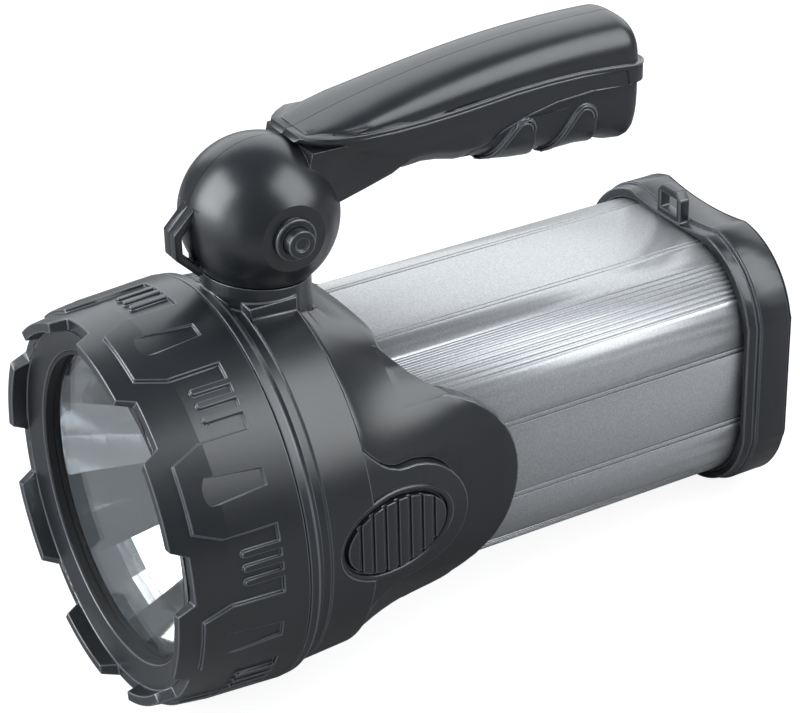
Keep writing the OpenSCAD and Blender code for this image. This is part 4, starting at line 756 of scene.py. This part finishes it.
def arch_edge(foot, top, rear, foot_rise, top_rise, inward):
    """Side view places along the front and over the top of an arch, drawn in by a number of millimetres."""
    (y0, z0), (y1, z1), y2 = grip_point(foot, foot_rise), grip_point(top, top_rise), grip_point(rear, 0)[0]
    steps = [i / 16 for i in range(17)]
    edge = [(y0 + (y1 - y0) * s, z0 + (z1 - z0) * s * s * (3 - 2 * s)) for s in steps]
    turn = y2 - y1
    edge += [(y1 + turn * math.sin(t), z1 - turn * (1 - math.cos(t)))
             for t in (math.radians(11.25 * i) for i in range(1, 9))]
    drawn = []
    for i, (y, z) in enumerate(edge):
        (ya, za), (yb, zb) = edge[max(0, i - 1)], edge[min(len(edge) - 1, i + 1)]
        length = math.hypot(yb - ya, zb - za) or 1.0
        drawn.append((y + inward * (zb - za) / length, z - inward * (yb - ya) / length))
    return drawn


for side, label in ((1, "right"), (-1, "left")):
    path = [dropped(grip_side, *grip_point(share, looked_up(CREASE_SHARES, share)), side)
            for share in (0.495 + 0.0125 * i for i in range(39))]
    raised_line("finger_side_line_" + label, path, 0.2, "finger_grip")
    for count, arch in enumerate(ARCHES):
        for inward in (0.35, 1.35):
            path = [dropped(grip_side, y, z, side) for y, z in arch_edge(*arch, inward)]
            raised_line("arch_%d_%s_%d" % (count + 1, label, round(inward * 10)), path, 0.34, "finger_grip")

# %% Rim round the switch button
boss_side = surface_of("head_shell", "shoulder_housing")
BUTTON_Y, RIM_LONG, RIM_SHORT, RIM_R = 69.3, 19.3, 12.9, 1.1
oval = [(BUTTON_Y + RIM_LONG * math.cos(t), RIM_SHORT * math.sin(t))
        for t in (math.radians(7.5 * i) for i in range(48))]
oval_path = [dropped(boss_side, y, z) for y, z in oval]
hits = [p.x for p in oval_path if p]
print("button rim hits", len(hits), "x from", round(min(hits), 1), "to", round(max(hits), 1))
button_rim = raised_line("button_rim", oval_path, RIM_R, "head_shell", closed=True)
button_rim.data.materials[0] = black_satin

# %% [markdown]
# ## Floor and light
# The photograph has a plain white ground. The lamp rests on its bezel and on the lower edge of its rear cap, so the
# floor is a plane through both. The floor and the world look white to the camera, while the lamp is lit by four
# large soft boxes: a strong one on the left, one on the right, a wide one above and behind, and a weak wide one low
# on the left.


# %% Floor
def light_path_mix(tree, seen, unseen):
    """A colour that camera rays see as one grey and all other rays as another."""
    path = tree.nodes.new("ShaderNodeLightPath")
    mix = tree.nodes.new("ShaderNodeMix")
    mix.data_type = "RGBA"
    mix.inputs["A"].default_value = (unseen, unseen, unseen, 1) if isinstance(unseen, float) else (*unseen, 1)
    mix.inputs["B"].default_value = (seen, seen, seen, 1)
    tree.links.new(path.outputs["Is Camera Ray"], mix.inputs["Factor"])
    return mix.outputs["Result"]


floor_material = bpy.data.materials.new("floor")
floor_material.use_nodes = True
tree = floor_material.node_tree
shader = tree.nodes["Principled BSDF"]
shader.inputs["Base Color"].default_value = (0.3, 0.3, 0.305, 1)
shader.inputs["Roughness"].default_value = 0.9
shader.inputs["Specular IOR Level"].default_value = 0.1
shader.inputs["Emission Strength"].default_value = 1
tree.links.new(light_path_mix(tree, 0.9, 0.0), shader.inputs["Emission Color"])
FRONT_FOOT_Y, CAP_HALF, FLOOR_DROP, FLOOR_HALF = 38.4, 44, 61.4, 6
floor_tilt = math.atan((AXIS_HEIGHT - CAP_HALF) / (LAMP_LENGTH - FRONT_FOOT_Y))
bm = bmesh.new()
bmesh.ops.create_grid(bm, x_segments=1, y_segments=1, size=FLOOR_HALF)
bmesh.ops.rotate(bm, verts=bm.verts, cent=(0, 0, 0), matrix=Matrix.Rotation(floor_tilt, 3, "X"))
bmesh.ops.translate(bm, verts=bm.verts, vec=place(0, FRONT_FOOT_Y, -FLOOR_DROP))
mesh = bpy.data.meshes.new("floor")
bm.to_mesh(mesh)
bm.free()
floor = bpy.data.objects.new("floor", mesh)
floor.data.materials.append(floor_material)
bpy.context.scene.collection.objects.link(floor)
print("floor tilted", round(math.degrees(floor_tilt), 2), "degrees")


# %% World and lamps
world = bpy.data.worlds.new("world")
bpy.context.scene.world = world
world.use_nodes = True
tree = world.node_tree
background = tree.nodes["Background"]
background.inputs["Strength"].default_value = 1
tree.links.new(light_path_mix(tree, 1.0, (0.14, 0.15, 0.16)), background.inputs["Color"])


def soft_box(name, way, distance, size, radiance, aim=(0, 70, 40)):
    """A rectangular lamp seen from the aim in a direction given as (right, up, back) of the camera."""
    data = bpy.data.lights.new(name, "AREA")
    data.shape = "RECTANGLE"
    data.size, data.size_y = size
    data.energy = radiance * math.pi * size[0] * size[1]
    data.color = (0.95, 0.98, 1.0)
    lamp = bpy.data.objects.new(name, data)
    toward = (right_turned * way[0] + up_turned * way[1] + back * way[2]).normalized()
    start = place(*aim) + toward * distance
    lamp.matrix_world = Matrix.Translation(start) @ toward.to_track_quat("Z", "Y").to_matrix().to_4x4()
    bpy.context.scene.collection.objects.link(lamp)


soft_box("box_left", (-0.84, 0.31, 0.44), 1.0, (0.85, 0.85), 5.0)
soft_box("box_right", (0.73, 0.47, 0.49), 1.0, (0.8, 0.9), 3.2)
soft_box("box_top", (0.03, 0.84, -0.54), 1.2, (2.0, 1.1), 1.5)
soft_box("box_front", (-0.86, -0.30, 0.43), 1.3, (1.7, 1.3), 0.85)
scene = bpy.context.scene
scene.view_settings.view_transform = "Standard"
